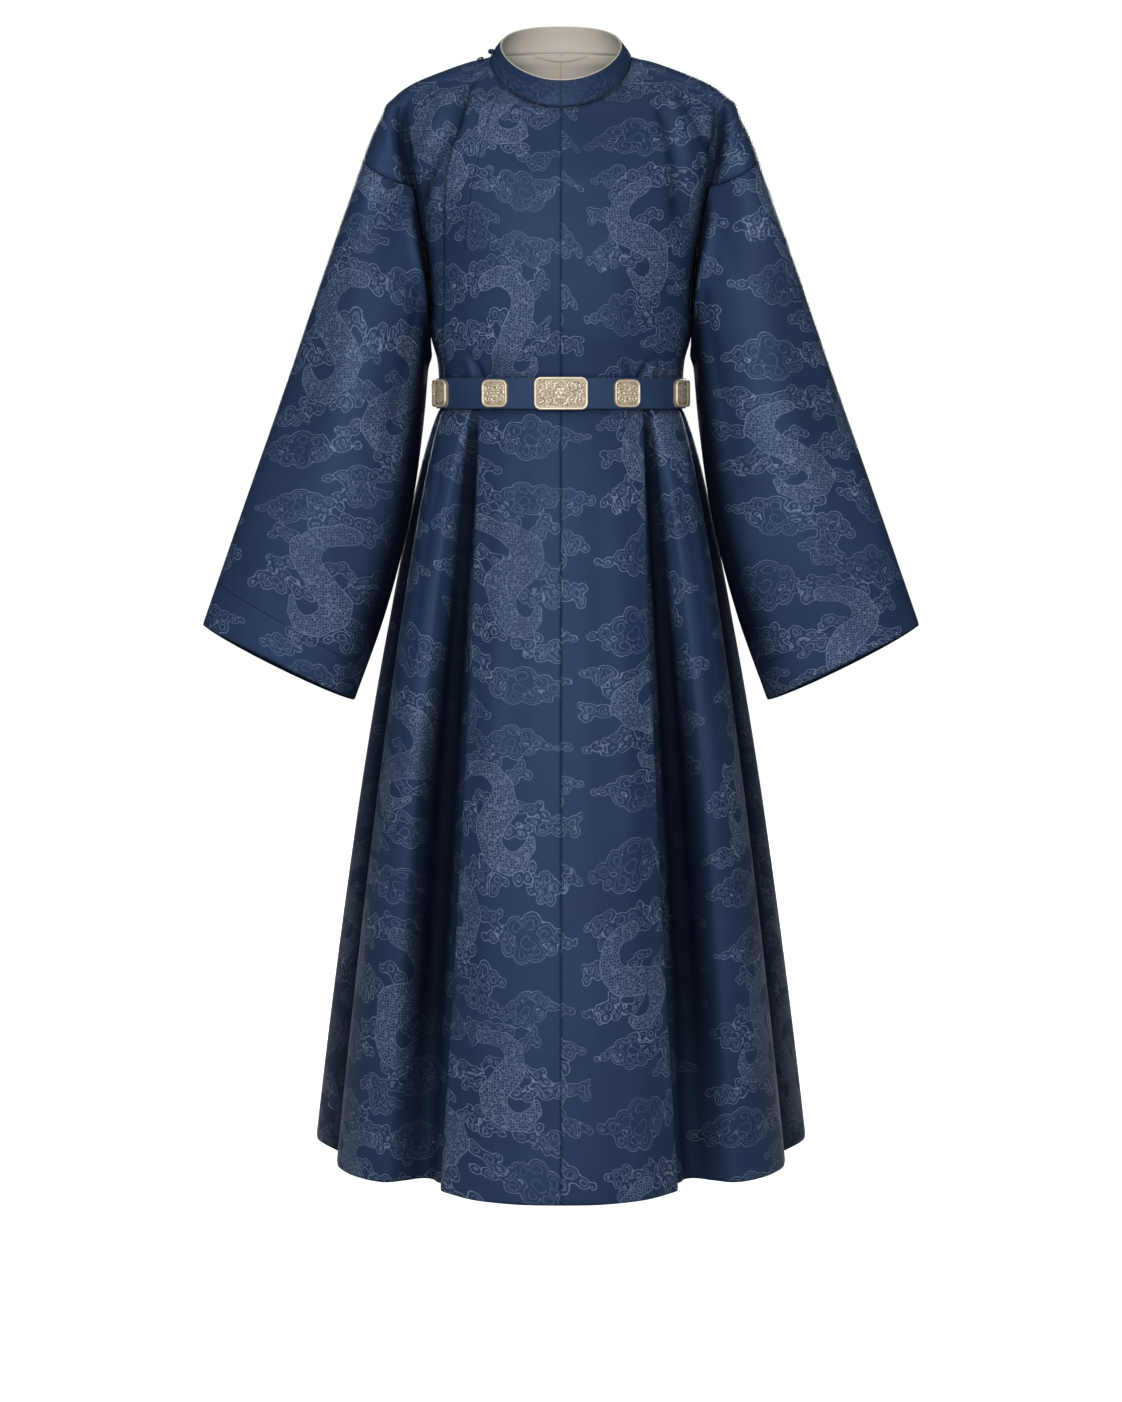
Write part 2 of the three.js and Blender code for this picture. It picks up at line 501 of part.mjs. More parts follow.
// The collar band by its angle from the centre front (0) through the wearer's left to the back (pi).
// up is 0 at the sewn base and 1 at the rim; sink is the depth below the band's outer face.
function collarFace(angle, up) {
  const cos = Math.cos(angle);
  const base = neckline(Math.asin(Math.sin(angle)), cos >= 0 ? 'front' : 'back');
  const depth = cos >= 0 ? COLLAR.front : COLLAR.back;
  const middle = (COLLAR.frontZ * COLLAR.back + COLLAR.backZ * COLLAR.front) / (COLLAR.front + COLLAR.back);
  const slope = (COLLAR.backZ - COLLAR.frontZ) / (COLLAR.front + COLLAR.back);
  const rimZ = middle - slope * depth * cos + COLLAR.sideRise * Math.sin(angle) ** 2;
  const rim = new THREE.Vector3(COLLAR.halfWidth * Math.sin(angle), -depth * cos, rimZ);
  const p = base.lerp(rim, up);
  p.z += COLLAR_FOOT * (1 - up);
  return p;
}

function collarPoint(angle, up, sink) {
  const p = collarFace(angle, up);
  const around = collarFace(angle + COLLAR_STEP, up).sub(collarFace(angle - COLLAR_STEP, up));
  const rise = collarFace(angle, 1).sub(collarFace(angle, 0));
  const out = around.cross(rise).normalize();
  return p.addScaledVector(out, COLLAR_BULGE * Math.sin(Math.PI * Math.min(1, up)) - sink);
}

const COLLAR_COLUMNS = 21;
for (const side of [1, -1]) {
  const trim = SEAM_GAP / 2 / NECK.front;
  const angle = (share) => side * mix(trim, Math.PI - trim, side > 0 ? share : 1 - share);
  add(side > 0 ? 'collar_left' : 'collar_right', slab(3, COLLAR_COLUMNS,
    (up, share) => collarPoint(angle(share), up, 0),
    (up, share) => collarPoint(angle(share), up, COLLAR.wall), false), SATIN);
}
add('collar_lining', slab(3, 2 * COLLAR_COLUMNS - 1,
  (up, share) => collarPoint(2 * Math.PI * share, up * LINING_RISE, COLLAR.wall + LINING_GAP),
  (up, share) => collarPoint(2 * Math.PI * share, up * LINING_RISE, COLLAR.wall + LINING_GAP + LINING_WALL),
  true), LINING);

// The lining of the back neck, below the collar, and the half-moon tab sewn on it
const backNeck = panel('back_left', 'back_right').filter((f) => f.row < NECK_LINING_ROWS);
add('neck_lining', wallFrom(skin, normals, backNeck, LINING_WALL, () => CLOTH_WALL + LINING_GAP), LINING);

function backNeckPoint(x, drop, sink) {
  const at = (across, down) => {
    const angle = Math.asin(Math.abs(across) / NECK.halfWidth);
    const column = BACK_COLUMNS * (1 - angle / radians(FOLD_ANGLE));
    const row = NECK_ROWS * (down / (NECK.backZ - SEAM_LEVEL_Z));
    return panelPoint('back', column, row, across < 0 ? -1 : 1);
  };
  const p = at(x, drop);
  const across = at(x + 1, drop).sub(p);
  const down = at(x, drop + 1).sub(p);
  return p.addScaledVector(down.cross(across).normalize(), sink);
}

const TAB_SINK = CLOTH_WALL + 2 * LINING_GAP + LINING_WALL;
const tabDrop = (up, share) => TAB.top + (1 - up) * mix(TAB.endHeight, TAB.height, Math.sin(Math.PI * share));
const tabPoint = (sink) => (up, share) => backNeckPoint(TAB.width * (share - 0.5), tabDrop(up, share), sink);
add('neck_tab', slab(3, 11, tabPoint(TAB_SINK + TAB.wall), tabPoint(TAB_SINK), false), LINING);

// Belt: a strap round the waist, and plaques on it at stated angles from the centre front
function waistPoint(angle, z, out) {
  const sin = Math.sin(angle);
  const cos = Math.cos(angle);
  const depth = cos >= 0 ? WAIST.front : WAIST.back;
  const normal = new THREE.Vector3(sin / WAIST.halfWidth, -cos / depth, 0).normalize();
  return new THREE.Vector3(WAIST.halfWidth * sin, -depth * cos, z).addScaledVector(normal, out);
}

const STRAP_OUTER = BELT.clearance + BELT.wall;
const strapFace = (out) => (up, share) => waistPoint(2 * Math.PI * share, mix(BELT_BOTTOM_Z, BELT_TOP_Z, up), out);
add('belt_strap', slab(2, 61, strapFace(STRAP_OUTER), strapFace(BELT.clearance), true), STRAP);

// A plaque is a plate with rounded corners and a raised rim round a sunken field. Its face is a grid
// whose lines lie at the plate's edge, on top of the rim, at the field's edge and across the field.
function plaque({ degrees, width, height, fieldLines }) {
  const middleZ = (BELT_TOP_Z + BELT_BOTTOM_Z) / 2;
  const centre = radians(degrees);
  const perRadian = Math.hypot(WAIST.halfWidth * Math.cos(centre), WAIST.front * Math.sin(centre));
  const lines = (half, inner) => {
    const edge = [half, half - PLAQUE_FORM.rim * 0.5, half - PLAQUE_FORM.rim];
    return [...edge.map((v) => -v), ...inner, ...edge.reverse()];
  };
  const across = lines(width / 2, fieldLines);
  const upward = lines(height / 2, []);
  const rises = [PLAQUE_FORM.edge, PLAQUE_FORM.wall, PLAQUE_FORM.field];
  const place = (raised) => (up, share) => {
    const i = Math.round(up * (upward.length - 1));
    const j = Math.round(share * (across.length - 1));
    const u = across[j] / (width / 2);
    const v = upward[i] / (height / 2);
    const cut = PLAQUE_FORM.corner * (1 - Math.SQRT1_2);
    const x = across[j] * (1 - (cut / (width / 2)) * v ** 8);
    const z = upward[i] * (1 - (cut / (height / 2)) * u ** 8);
    const fromEdge = Math.min(i, upward.length - 1 - i, j, across.length - 1 - j, 2);
    const rise = raised ? rises[fromEdge] : 0;
    return waistPoint(centre + x / perRadian, middleZ + z, STRAP_OUTER + SEAM_GAP + rise);
  };
  return slab(upward.length, across.length, place(true), place(false), false);
}

PLAQUES.forEach((form) => add(form.name, plaque(form), PLAQUE));

// Knot button at the wearer's right of the collar's foot, and the cord loop that holds it
const knot = new THREE.SphereGeometry(KNOT.radius, 12, 7);
const knotAt = collarPoint(radians(-KNOT.degrees), KNOT.up, -KNOT.radius - KNOT.stand);
knot.scale(1, 1, KNOT.squash).translate(knotAt.x, knotAt.y, knotAt.z);
add('neck_button', knot, SATIN);
const loop = new THREE.TorusGeometry(LOOP.radius, LOOP.cord, 6, 14);
loop.applyQuaternion(new THREE.Quaternion().setFromUnitVectors(
  new THREE.Vector3(0, 0, 1), new THREE.Vector3(...LOOP.facing).normalize()));
loop.translate(...LOOP.centre);
add('button_loop', loop, SATIN);

export default robe;
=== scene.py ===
"""Round-collar robe in its worn form, empty: satin damask with a belt of gilt plaques.

The robe's form is worked out in millimetres from the same named sizes and tables as its solids, at a
finer spacing, with creases laid on. Meshes are made in metres, +Z up, the front toward -Y and
the wearer's left at +X.
"""
from __future__ import annotations

import logging
import math
from dataclasses import dataclass, field
from enum import Enum
from typing import Callable, Sequence

import bmesh
import bpy
import numpy as np
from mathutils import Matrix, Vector


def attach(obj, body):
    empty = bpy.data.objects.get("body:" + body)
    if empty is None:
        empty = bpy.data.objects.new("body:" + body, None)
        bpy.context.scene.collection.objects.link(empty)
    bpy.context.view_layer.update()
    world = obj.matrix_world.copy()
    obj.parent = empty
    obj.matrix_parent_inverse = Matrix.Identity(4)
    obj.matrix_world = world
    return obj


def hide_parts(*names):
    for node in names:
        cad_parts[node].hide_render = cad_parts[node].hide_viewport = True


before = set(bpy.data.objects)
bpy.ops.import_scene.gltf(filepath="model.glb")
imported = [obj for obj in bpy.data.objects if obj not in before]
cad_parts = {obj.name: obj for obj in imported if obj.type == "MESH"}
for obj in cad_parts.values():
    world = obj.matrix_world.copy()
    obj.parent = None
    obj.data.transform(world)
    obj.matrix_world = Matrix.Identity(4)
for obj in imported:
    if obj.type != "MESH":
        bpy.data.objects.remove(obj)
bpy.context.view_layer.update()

log = logging.getLogger("robe")

MM = 0.001
NO_SEAM = 99.0  # the seam distance of cloth that is far from every seam
Array = np.ndarray


class Side(Enum):
    """The wearer's side that a piece is on."""

    LEFT = 1
    RIGHT = -1

    @property
    def word(self) -> str:
        """The side's name as it stands in piece names."""
        return self.name.lower()


class Face(Enum):
    """Front or back of the body, with the sign of its depth along Y."""

    FRONT = -1
    BACK = 1

    @property
    def key(self) -> str:
        """The name of the face's column in the tables."""
        return self.name.lower()


def ease(t: Array) -> Array:
    """Smooth step from 0 to 1, flat outside."""
    c = np.clip(t, 0.0, 1.0)
    return c * c * (3 - 2 * c)


def mix(a: Array, b: Array, t: Array) -> Array:
    """Straight blend from a to b."""
    return a + (b - a) * t


def unit(v: Array) -> Array:
    """Vectors scaled to length 1."""
    return v / np.maximum(np.linalg.norm(v, axis=-1, keepdims=True), 1e-9)


class Table:
    """Rows of named measures, read smoothly between the rows and without overshoot."""

    def __init__(self, columns: str, rows: Sequence[Sequence[float]]) -> None:
        """Args:
            columns: the names of the columns; the first one is the key.
            rows: the measures, with the key running one way.
        """
        values = np.array(rows, float)
        self.values = values if values[0, 0] < values[-1, 0] else values[::-1]
        self.names = columns.split()

    def column(self, name: str) -> Array:
        """All measures of one column, by rising key."""
        return self.values[:, self.names.index(name)]

    def read(self, name: str, at: Array) -> Array:
        """One column at any keys.

        Args:
            name: the column.
            at: keys to read at.

        Returns:
            The measures there.
        """
        keys, v = self.values[:, 0], self.column(name)
        at = np.asarray(at, float)
        last = len(keys) - 1
        i = np.clip(np.searchsorted(keys, at, side="right") - 1, 0, last - 1)
        below, above = np.arange(last + 1) - 1, np.arange(last + 1) + 1
        below, above = np.clip(below, 0, last), np.clip(above, 0, last)
        slope = (v[above] - v[below]) / (keys[above] - keys[below])
        step = keys[i + 1] - keys[i]
        t = np.clip((at - keys[i]) / step, 0, 1)
        a, b = v[i], v[i + 1]
        chord = (b - a) / step

        def limited(s: Array) -> Array:
            steep = np.sign(s) * np.minimum(np.abs(s), 3 * np.abs(chord))
            return np.where(s * chord <= 0, 0.0, steep) * step

        left, right = limited(slope[i]), limited(slope[i + 1])
        return a + t * (left + t * (3 * (b - a) - 2 * left - right + t * (left + right - 2 * (b - a))))


@dataclass(frozen=True)
class Sizes:
    """Driving sizes of the robe in millimetres, the same as the solids have."""

    cloth_wall: float = 1.6
    seam_gap: float = 0.3
    lap_sink: float = 2.3
    hem_z: float = -1283
    belt_top_z: float = -367
    belt_bottom_z: float = -402
    belt_mid_z: float = -384
    seam_level_z: float = -150
    seam_top_z: float = -113
    armpit_z: float = -318
    waist_half: float = 141.5
    waist_front: float = 101.5
    waist_back: float = 98.5
    neck_half: float = 81
    neck_front: float = 78
    neck_back: float = 72
    neck_front_z: float = -64
    neck_back_z: float = 11
    collar_half: float = 70
    collar_front: float = 70
    collar_back: float = 68
    collar_front_z: float = -34
    collar_back_z: float = 41
    collar_side_rise: float = 9
    collar_wall: float = 1.3
    collar_foot: float = 0.35
    collar_bulge: float = 1.5
    lining_gap: float = 0.35
    lining_wall: float = 0.9
    lap_angle: float = math.radians(78)
    fold_angle: float = math.radians(85)
    flare_power: float = 0.78
    neck_blend: float = 0.4
    shoulder_crowding: float = 0.6
    mid_flare: float = 0.485
    gather_z: float = -300
    cap_softness: float = 0.35
    oval_power: float = 0.9
    armhole_fade: float = 0.42
    left_pleat_shift: float = -4
    back_depth_belt: float = 0.97
    back_depth_mid: float = 0.92
    back_depth_hem: float = 0.89


S = Sizes()

# Rows of the robe's grid, counted from the neckline down, and columns from the centre to the side
NECK_ROWS, ARM_ROWS, WAIST_ROWS, SKIRT_ROWS = 8, 5, 3, 9
ARMPIT_ROW = NECK_ROWS + ARM_ROWS
BELT_ROW = ARMPIT_ROW + WAIST_ROWS
SKIRT_ROW = BELT_ROW + 1
HEM_ROW = SKIRT_ROW + SKIRT_ROWS
LAP_COLUMN, SIDE_COLUMN, CAP_COLUMNS = 15, 18, 4
RING_HALF = CAP_COLUMNS + ARM_ROWS
# Millimetres between rows at the collar and in the skirt, and between columns at the overlap's edge
NECK_ROW_LENGTH, SKIRT_ROW_LENGTH, LAP_COLUMN_WIDTH = 16, 98, 8.5

TORSO = Table(
    "z outer fold lap body front back round cap",
    [
        (11, 81, 80, 79, 81, 4, 72, 2.2, 0),
        (0, 84, 80.5, 79, 84, 8, 75, 2.2, 0),
        (-6, 107, 86, 79, 107, 13, 78, 2.2, 0),
        (-17, 137, 107, 84, 137, 25, 83, 2.3, 1),
        (-31, 170, 138, 95, 170, 40, 88, 2.3, 2),
        (-45, 190, 163, 103, 190, 57, 92, 2.3, 4),
        (-64, 204, 178, 110, 198, 78, 97, 2.3, 8),
        (-94, 219, 180, 118, 196, 92, 103, 2.4, 15),
        (-130, 233, 174, 127, 184, 104, 107, 2.4, 22),
        (-150, 241, 170, 130, 177, 109, 108, 2.4, 25),
        (-220, 266, 158, 132, 162, 118, 109, 2.4, 26),
        (-270, 284, 153, 133, 154.5, 117, 106, 2.3, 26),
        (-318, 301, 151, 136, 151, 112, 103, 2.2, 26),
        (-345, 301, 144, 134, 144, 106, 100, 2.1, 26),
        (-366, 301, 142, 132, 142, 102, 98.8, 2, 26),
        (-384, 301, 141.5, 131, 141.5, 101.5, 98.5, 2, 26),
    ],
)
SLEEVE = Table(
    "t outer_x outer_z inner_x inner_z depth forward",
    [
        (0, 227, -113, 151, -318, 58, 0),
        (0.25, 274, -247, 160, -424, 62, 11),
        (0.5, 319.5, -382, 175.5, -530, 60, 27),
        (0.75, 367.5, -517, 203, -636, 56, 37),
        (1, 415, -651, 239.5, -738, 52, 42),
    ],
)
SKIRT_COLUMNS = "column flat belt_x belt_y mid_x mid_y hem_x hem_y"
FRONT_SKIRT = Table(
    SKIRT_COLUMNS,
    [
        (0, 0, 0, -101, 0, -172, 0, -243),
        (1, 30, 32, -98.6, 36, -170, 46, -240),
        (2, 56, 64, -90, 72, -160, 93, -223),
        (3, 72, 91, -77.4, 102, -139, 132, -190),
        (4, 79, 93.4, -73.4, 106, -132, 137, -181),
        (5, 84, 91, -70.8, 101, -127, 131, -174),
        (6, 88, 80, -75, 85, -135, 111, -187),
        (7, 92, 77, -71.5, 80, -129, 105, -179),
        (8, 96, 80, -68, 85, -121, 111, -167),
        (9, 100, 91, -65, 106, -112, 139, -152),
        (10, 104, 95, -63, 119, -98, 151, -140),
        (11, 108, 98.5, -63, 130, -89, 163, -136),
        (12, 112, 103, -67, 141, -99, 178, -141),
        (13, 117, 110.5, -62.4, 157, -112, 199, -148),
        (14, 124, 119, -54, 174, -108, 222, -139),
        (15, 131, 126.5, -45, 187, -93, 243, -118),
        (16, 135.5, 131.5, -37, 196, -72, 258, -91),
        (17, 139.5, 134, -32, 199.5, -60, 262.5, -74),
        (18, 141.5, 135.5, -28, 200, -50, 264, -60),
    ],
)
BACK_SIDE_ROWS = [
    (0, 141.5, 131, -22, 189, -42, 234, -68),
    (1, 141.3, 137.5, -11, 207, -20, 264, -18),
    (2, 140, 140.6, 0, 218, 2, 289, 24),
    (3, 137, 140, 12, 223, 26, 300, 55),
    (4, 132, 135, 28, 217, 54, 293, 92),
    (5, 125, 125, 44, 199, 82, 266, 124),
]
BACK_PLEAT_COLUMNS = 14


def back_rows() -> list[tuple[float, ...]]:
    """The back's plan: its side, then the front's pleats mirrored to the back and a little shallower."""
    rows = list(BACK_SIDE_ROWS)
    for row in FRONT_SKIRT.values[BACK_PLEAT_COLUMNS - 1 :: -1]:
        _, flat, belt_x, belt_y, mid_x, mid_y, hem_x, hem_y = row
        depths = (-belt_y * S.back_depth_belt, -mid_y * S.back_depth_mid, -hem_y * S.back_depth_hem)
        rows.append((len(rows), flat, belt_x, depths[0], mid_x, depths[1], hem_x, depths[2]))
    return rows


BACK_SKIRT = Table(SKIRT_COLUMNS, back_rows())
BACK_COLUMNS = len(BACK_SKIRT.values) - 1


class Form:
    """The smooth form of the robe without creases; arrays of millimetres, last axis x, y, z."""

    @staticmethod
    def body_depth(x: Array, z: Array, face: Face) -> Array:
        """How far the body's section stands out at a place."""
        share = np.minimum(1.0, np.abs(x) / TORSO.read("body", z))
        power = TORSO.read("round", z)
        return TORSO.read(face.key, z) * np.sqrt(np.maximum(0.0, 1 - share**power))

    @staticmethod
    def neckline(angle: Array, face: Face) -> Array:
        """Points of the neckline by the angle from its centre at the front or the back."""
        cos, sin = np.cos(angle), np.sin(angle)
        depth = S.neck_front if face is Face.FRONT else S.neck_back
        height = S.neck_front_z if face is Face.FRONT else S.neck_back_z
        return np.stack([S.neck_half * sin, face.value * depth * cos, height * cos], -1)

    @staticmethod
    def neck_angle(face: Face, column: Array) -> Array:
        """Where a column of the upper body starts on the neckline."""
        if face is Face.BACK:
            return S.fold_angle * (1 - column / BACK_COLUMNS)
        beyond = (column - LAP_COLUMN) / (SIDE_COLUMN - LAP_COLUMN)
        inner = S.lap_angle * column / LAP_COLUMN
        return np.where(column <= LAP_COLUMN, inner, mix(S.lap_angle, S.fold_angle, beyond))

    @staticmethod
    def column_x(face: Face, column: Array, z: Array) -> Array:
        """Half width of a column of the upper body at a height."""
        gather = ease((z - S.gather_z) / (S.belt_mid_z - S.gather_z))
        if face is Face.BACK:
            flat = BACK_SKIRT.read("flat", column) / S.waist_half
            even = np.sin((1 - column / BACK_COLUMNS) * math.pi / 2)
            return TORSO.read("fold", z) * mix(even, flat, gather)
        lap = TORSO.read("lap", z)
        flat = FRONT_SKIRT.read("flat", column) / FRONT_SKIRT.column("flat")[LAP_COLUMN]
        inner = lap * mix(column / LAP_COLUMN, flat, gather)
        share = np.clip((column - LAP_COLUMN) / (SIDE_COLUMN - LAP_COLUMN), 0, 1)
        outer = mix(lap, TORSO.read("fold", z), np.sin(share * math.pi / 2) * 0.5 + share * 0.5)
        return np.where(column <= LAP_COLUMN, inner, outer)

    @classmethod
    def upper_point(cls, face: Face, column: Array, z: Array, fall: Array) -> Array:
        """Points of the upper body.

        Args:
            face: front or back.
            column: columns, any fraction.
            z: heights.
            fall: 0 at the neckline and 1 at the level of the sleeve seam.

        Returns:
            Points, drawn onto the neckline beside it.
        """
        neck = cls.neckline(cls.neck_angle(face, column), face)
        near = 1 - ease(fall / S.neck_blend)
        place = cls.column_x(face, column, z)
        x = place + near * (neck[..., 0] - cls.column_x(face, column, neck[..., 2]))
        lift = neck[..., 1] - face.value * cls.body_depth(neck[..., 0], neck[..., 2], face)
        y = face.value * cls.body_depth(x, z, face) + near * lift
        return np.stack([x, y, z + 0 * x], -1)

    @staticmethod
    def fall_height(angle: Array, neck_z: Array, end_z: Array, fall: Array) -> Array:
        """Height of a row between the neckline and the seam level."""
        power = 1 + S.shoulder_crowding * np.sin(angle) ** 4
        return mix(neck_z, end_z, fall**power)

    @classmethod
    def cap_point(cls, face: Face, share: Array, row: Array) -> Array:
        """Points of the shoulder cap, from the arm fold (share 0) to the ridge (share 1)."""
        angle = mix(S.fold_angle, math.pi / 2, share)
        neck = cls.neckline(angle, face)
        fall = row / NECK_ROWS
        seam_z = mix(S.seam_level_z, S.seam_top_z, mix(share, ease(share), S.cap_softness))
        turn = share * math.pi / 2
        column = np.full_like(share + row, SIDE_COLUMN if face is Face.FRONT else 0.0)

        def at(z: Array, part: Array) -> Array:
            fold = cls.upper_point(face, column, z, part)
            x = mix(fold[..., 0], TORSO.read("outer", z), np.sin(turn))
            proud = TORSO.read("cap", z) * np.sin(2 * turn)
            y = face.value * (np.abs(fold[..., 1]) * np.cos(turn) + proud)
            return np.stack([x, y, z], -1)

        low = at(cls.fall_height(angle, neck[..., 2], seam_z, fall), fall)
        start = at(neck[..., 2] + 0 * row, 0 * (share + row))
        return low + (neck - start) * (1 - ease(fall / S.neck_blend))[..., None]

    @staticmethod
    def skirt_point(face: Face, column: Array, fall: Array, side: Side) -> Array:
        """Points of the skirt; fall is 0 at the belt's foot and 1 at the hem."""
        table = FRONT_SKIRT if face is Face.FRONT else BACK_SKIRT
        spread = fall**S.flare_power

        def through(axis: str) -> Array:
            belt, mid, hem = (table.read(f"{level}_{axis}", column) for level in ("belt", "mid", "hem"))
            bow = (mid - mix(belt, hem, S.mid_flare)) / (S.mid_flare * (1 - S.mid_flare))
            return mix(belt, hem, spread) + bow * spread * (1 - spread)

        x = through("x")
        if side is Side.LEFT:
            reach = np.minimum(1.0, table.read("hem_x", column) / FRONT_SKIRT.column("hem_x")[SIDE_COLUMN])
            x = x + S.left_pleat_shift * spread * np.sin(math.pi * reach)
        z = mix(S.belt_bottom_z, S.hem_z, fall)
        return np.stack([x, through("y"), z + 0 * x], -1)

    @classmethod
    def panel(cls, face: Face, column: Array, row: Array, side: Side) -> Array:
        """Points of a front or back, from the neckline to the hem, with its skirt on a wearer's side."""
        angle = cls.neck_angle(face, column)
        neck_z = cls.neckline(angle, face)[..., 2]
        fall = np.clip(row / NECK_ROWS, 0, 1)
        z = cls.fall_height(angle, neck_z, S.seam_level_z, fall)
        z = np.where(row > NECK_ROWS, mix(S.seam_level_z, S.armpit_z, (row - NECK_ROWS) / ARM_ROWS), z)
        down = np.clip((row - ARMPIT_ROW) / WAIST_ROWS, 0, 1)
        z = np.where(row > ARMPIT_ROW, mix(S.armpit_z, S.belt_mid_z, down), z)
        upper = cls.upper_point(face, column, z, fall)
        skirt = cls.skirt_point(face, column, np.clip((row - SKIRT_ROW) / SKIRT_ROWS, 0, 1), side)
        return mix(upper, skirt, np.clip(row - BELT_ROW, 0, 1)[..., None])

    @classmethod
    def armhole(cls, around: Array) -> Array:
        """The ring where sleeve and body meet, from the ridge down the front and up the back."""
        step = np.where(around <= RING_HALF, around, 2 * RING_HALF - around)
        points = []
        for face, column in ((Face.FRONT, SIDE_COLUMN), (Face.BACK, 0)):
            share = np.clip(1 - step / CAP_COLUMNS, 0, 1)
            cap = cls.cap_point(face, share, np.full_like(share, NECK_ROWS))
            row = NECK_ROWS + np.maximum(0.0, step - CAP_COLUMNS)
            fold = cls.panel(face, np.full_like(row, column), row, Side.RIGHT)
            points.append(np.where((step <= CAP_COLUMNS)[..., None], cap, fold))
        return np.where((around <= RING_HALF)[..., None], points[0], points[1])

    @staticmethod
    def sleeve_section(around: Array, t: Array) -> Array:
        """The sleeve's own oval at a share of its length."""
        turn = around / RING_HALF * math.pi
        along, out = (1 - np.cos(turn)) / 2, np.sin(turn)
        line = {name: SLEEVE.read(name, t) for name in SLEEVE.names[1:]}
        x = mix(line["outer_x"], line["inner_x"], along)
        z = mix(line["outer_z"], line["inner_z"], along)
        y = -line["depth"] * np.sign(out) * np.abs(out) ** S.oval_power - line["forward"]
        return np.stack([x, y, z], -1)

    @classmethod
    def sleeve(cls, around: Array, t: Array) -> Array:
        """Points of the left sleeve by place around (0 to 18) and share of its length."""
        own = cls.sleeve_section(around, t)
        away = cls.armhole(around) - cls.sleeve_section(around, 0 * t)
        return own + away * (1 - ease(t / S.armhole_fade))[..., None]

    @classmethod
    def collar_face(cls, angle: Array, up: Array) -> Array:
        """The collar band between its foot (up 0) and rim (up 1), by the angle round from the front."""
        cos, sin = np.cos(angle), np.sin(angle)
        own = np.arcsin(np.clip(sin, -1, 1))
        front = (cos >= 0)[..., None]
        base = np.where(front, cls.neckline(own, Face.FRONT), cls.neckline(own, Face.BACK))
        depth = np.where(cos >= 0, S.collar_front, S.collar_back)
        whole = S.collar_front + S.collar_back
        middle = (S.collar_front_z * S.collar_back + S.collar_back_z * S.collar_front) / whole
        slope = (S.collar_back_z - S.collar_front_z) / whole
        rim_z = middle - slope * depth * cos + S.collar_side_rise * sin**2
        rim = np.stack([S.collar_half * sin, -depth * cos, rim_z], -1)
        p = mix(base, rim, up[..., None])
        p[..., 2] += S.collar_foot * (1 - up)
        return p

    @classmethod
    def collar(cls, angle: Array, up: Array, sink: Array) -> Array:
        """The collar band's swelling face, or a face sunk below it."""
        step = 0.02
        around = cls.collar_face(angle + step, up) - cls.collar_face(angle - step, up)
        rise = cls.collar_face(angle, 0 * up + 1) - cls.collar_face(angle, 0 * up)
        out = unit(np.cross(around, rise))
        proud = S.collar_bulge * np.sin(math.pi * np.minimum(1.0, up)) - sink
        return cls.collar_face(angle, up) + out * proud[..., None]

    @staticmethod
    def waist(angle: Array, z: Array, out: Array) -> Array:
        """Points round the waist at a height, a distance outside the cloth."""
        sin, cos = np.sin(angle), np.cos(angle)
        depth = np.where(cos >= 0, S.waist_front, S.waist_back)
        normal = unit(np.stack([sin / S.waist_half, -cos / depth, 0 * sin], -1))
        base = np.stack([S.waist_half * sin, -depth * cos, z + 0 * sin], -1)
        return base + normal * np.asarray(out)[..., None]


class Crease(Enum):
    """The profile of a fold across its line."""

    TROUGH = "trough"
    RIDGE = "ridge"


@dataclass(frozen=True)
class Fold:
    """One soft crease laid on.

    path is a list of (across, along) places with along falling or rising, width is the half width at
    both ends in the units of across, depth is in millimetres, fade the length in which it dies at both
    ends in the units of along.
    """

    path: Sequence[tuple[float, float]]
    width: tuple[float, float]
    depth: float
    fade: tuple[float, float] = (30, 30)
    kind: Crease = Crease.TROUGH

    def height(self, across: Array, along: Array) -> Array:
        """How far the fold lifts the cloth at given places."""
        path = sorted(self.path, key=lambda p: p[1])
        keys = [p[1] for p in path]
        line = Table("along across", [(b, a) for a, b in path]) if len(path) > 1 else None
        centre = line.read("across", along) if line else path[0][0]
        share = np.clip((along - keys[0]) / (keys[-1] - keys[0]), 0, 1)
        rising = self.path[0][1] < self.path[-1][1]
        start, end = self.width if rising else self.width[::-1]
        q = (across - centre) / mix(start, end, share)
        first, last = self.fade if rising else self.fade[::-1]
        life = ease((along - keys[0]) / max(first, 1e-6)) * ease((keys[-1] - along) / max(last, 1e-6))
        bump = np.exp(-(q**2))
        return (self.depth if self.kind is Crease.RIDGE else -self.depth) * bump * life


def laid(folds: Sequence[Fold], across: Array, along: Array) -> Array:
    """The sum of some folds at given places."""
    total = np.zeros(np.broadcast(across, along).shape)
    for fold in folds:
        total = total + fold.height(across, along)
    return total


@dataclass
class Grid:
    """A sheet of points in rows and columns, with what its material needs at each of them."""

    points: Array
    cut: Array
    seam: Array
    keep: Array
    outward: float = 1.0
    painted_shade: Array | None = None  # shade painted at each point, 0 to 1, by how deep in a fold it lies
    faced: Array | None = None  # whether each quad has satin on its inner side too; the robe's pieces give it a darkened satin there, painted shade

    def paint_shade(self, share: Array) -> None:
        """Paints shade on the sheet where it lies deep in a fold, by a share from 0 to 1."""
        before = np.zeros(self.points.shape[:2]) if self.painted_shade is None else self.painted_shade
        self.painted_shade = np.maximum(before, np.clip(share, 0, 1))

    def normals(self) -> Array:
        """Unit normals of the sheet, turned to its outer side."""
        down = np.gradient(self.points, axis=0)
        across = np.gradient(self.points, axis=1)
        return unit(np.cross(down, across)) * self.outward

    def lift(self, height: Array) -> None:
        """Moves the points along their normals by a height in millimetres."""
        self.points = self.points + self.normals() * height[..., None]


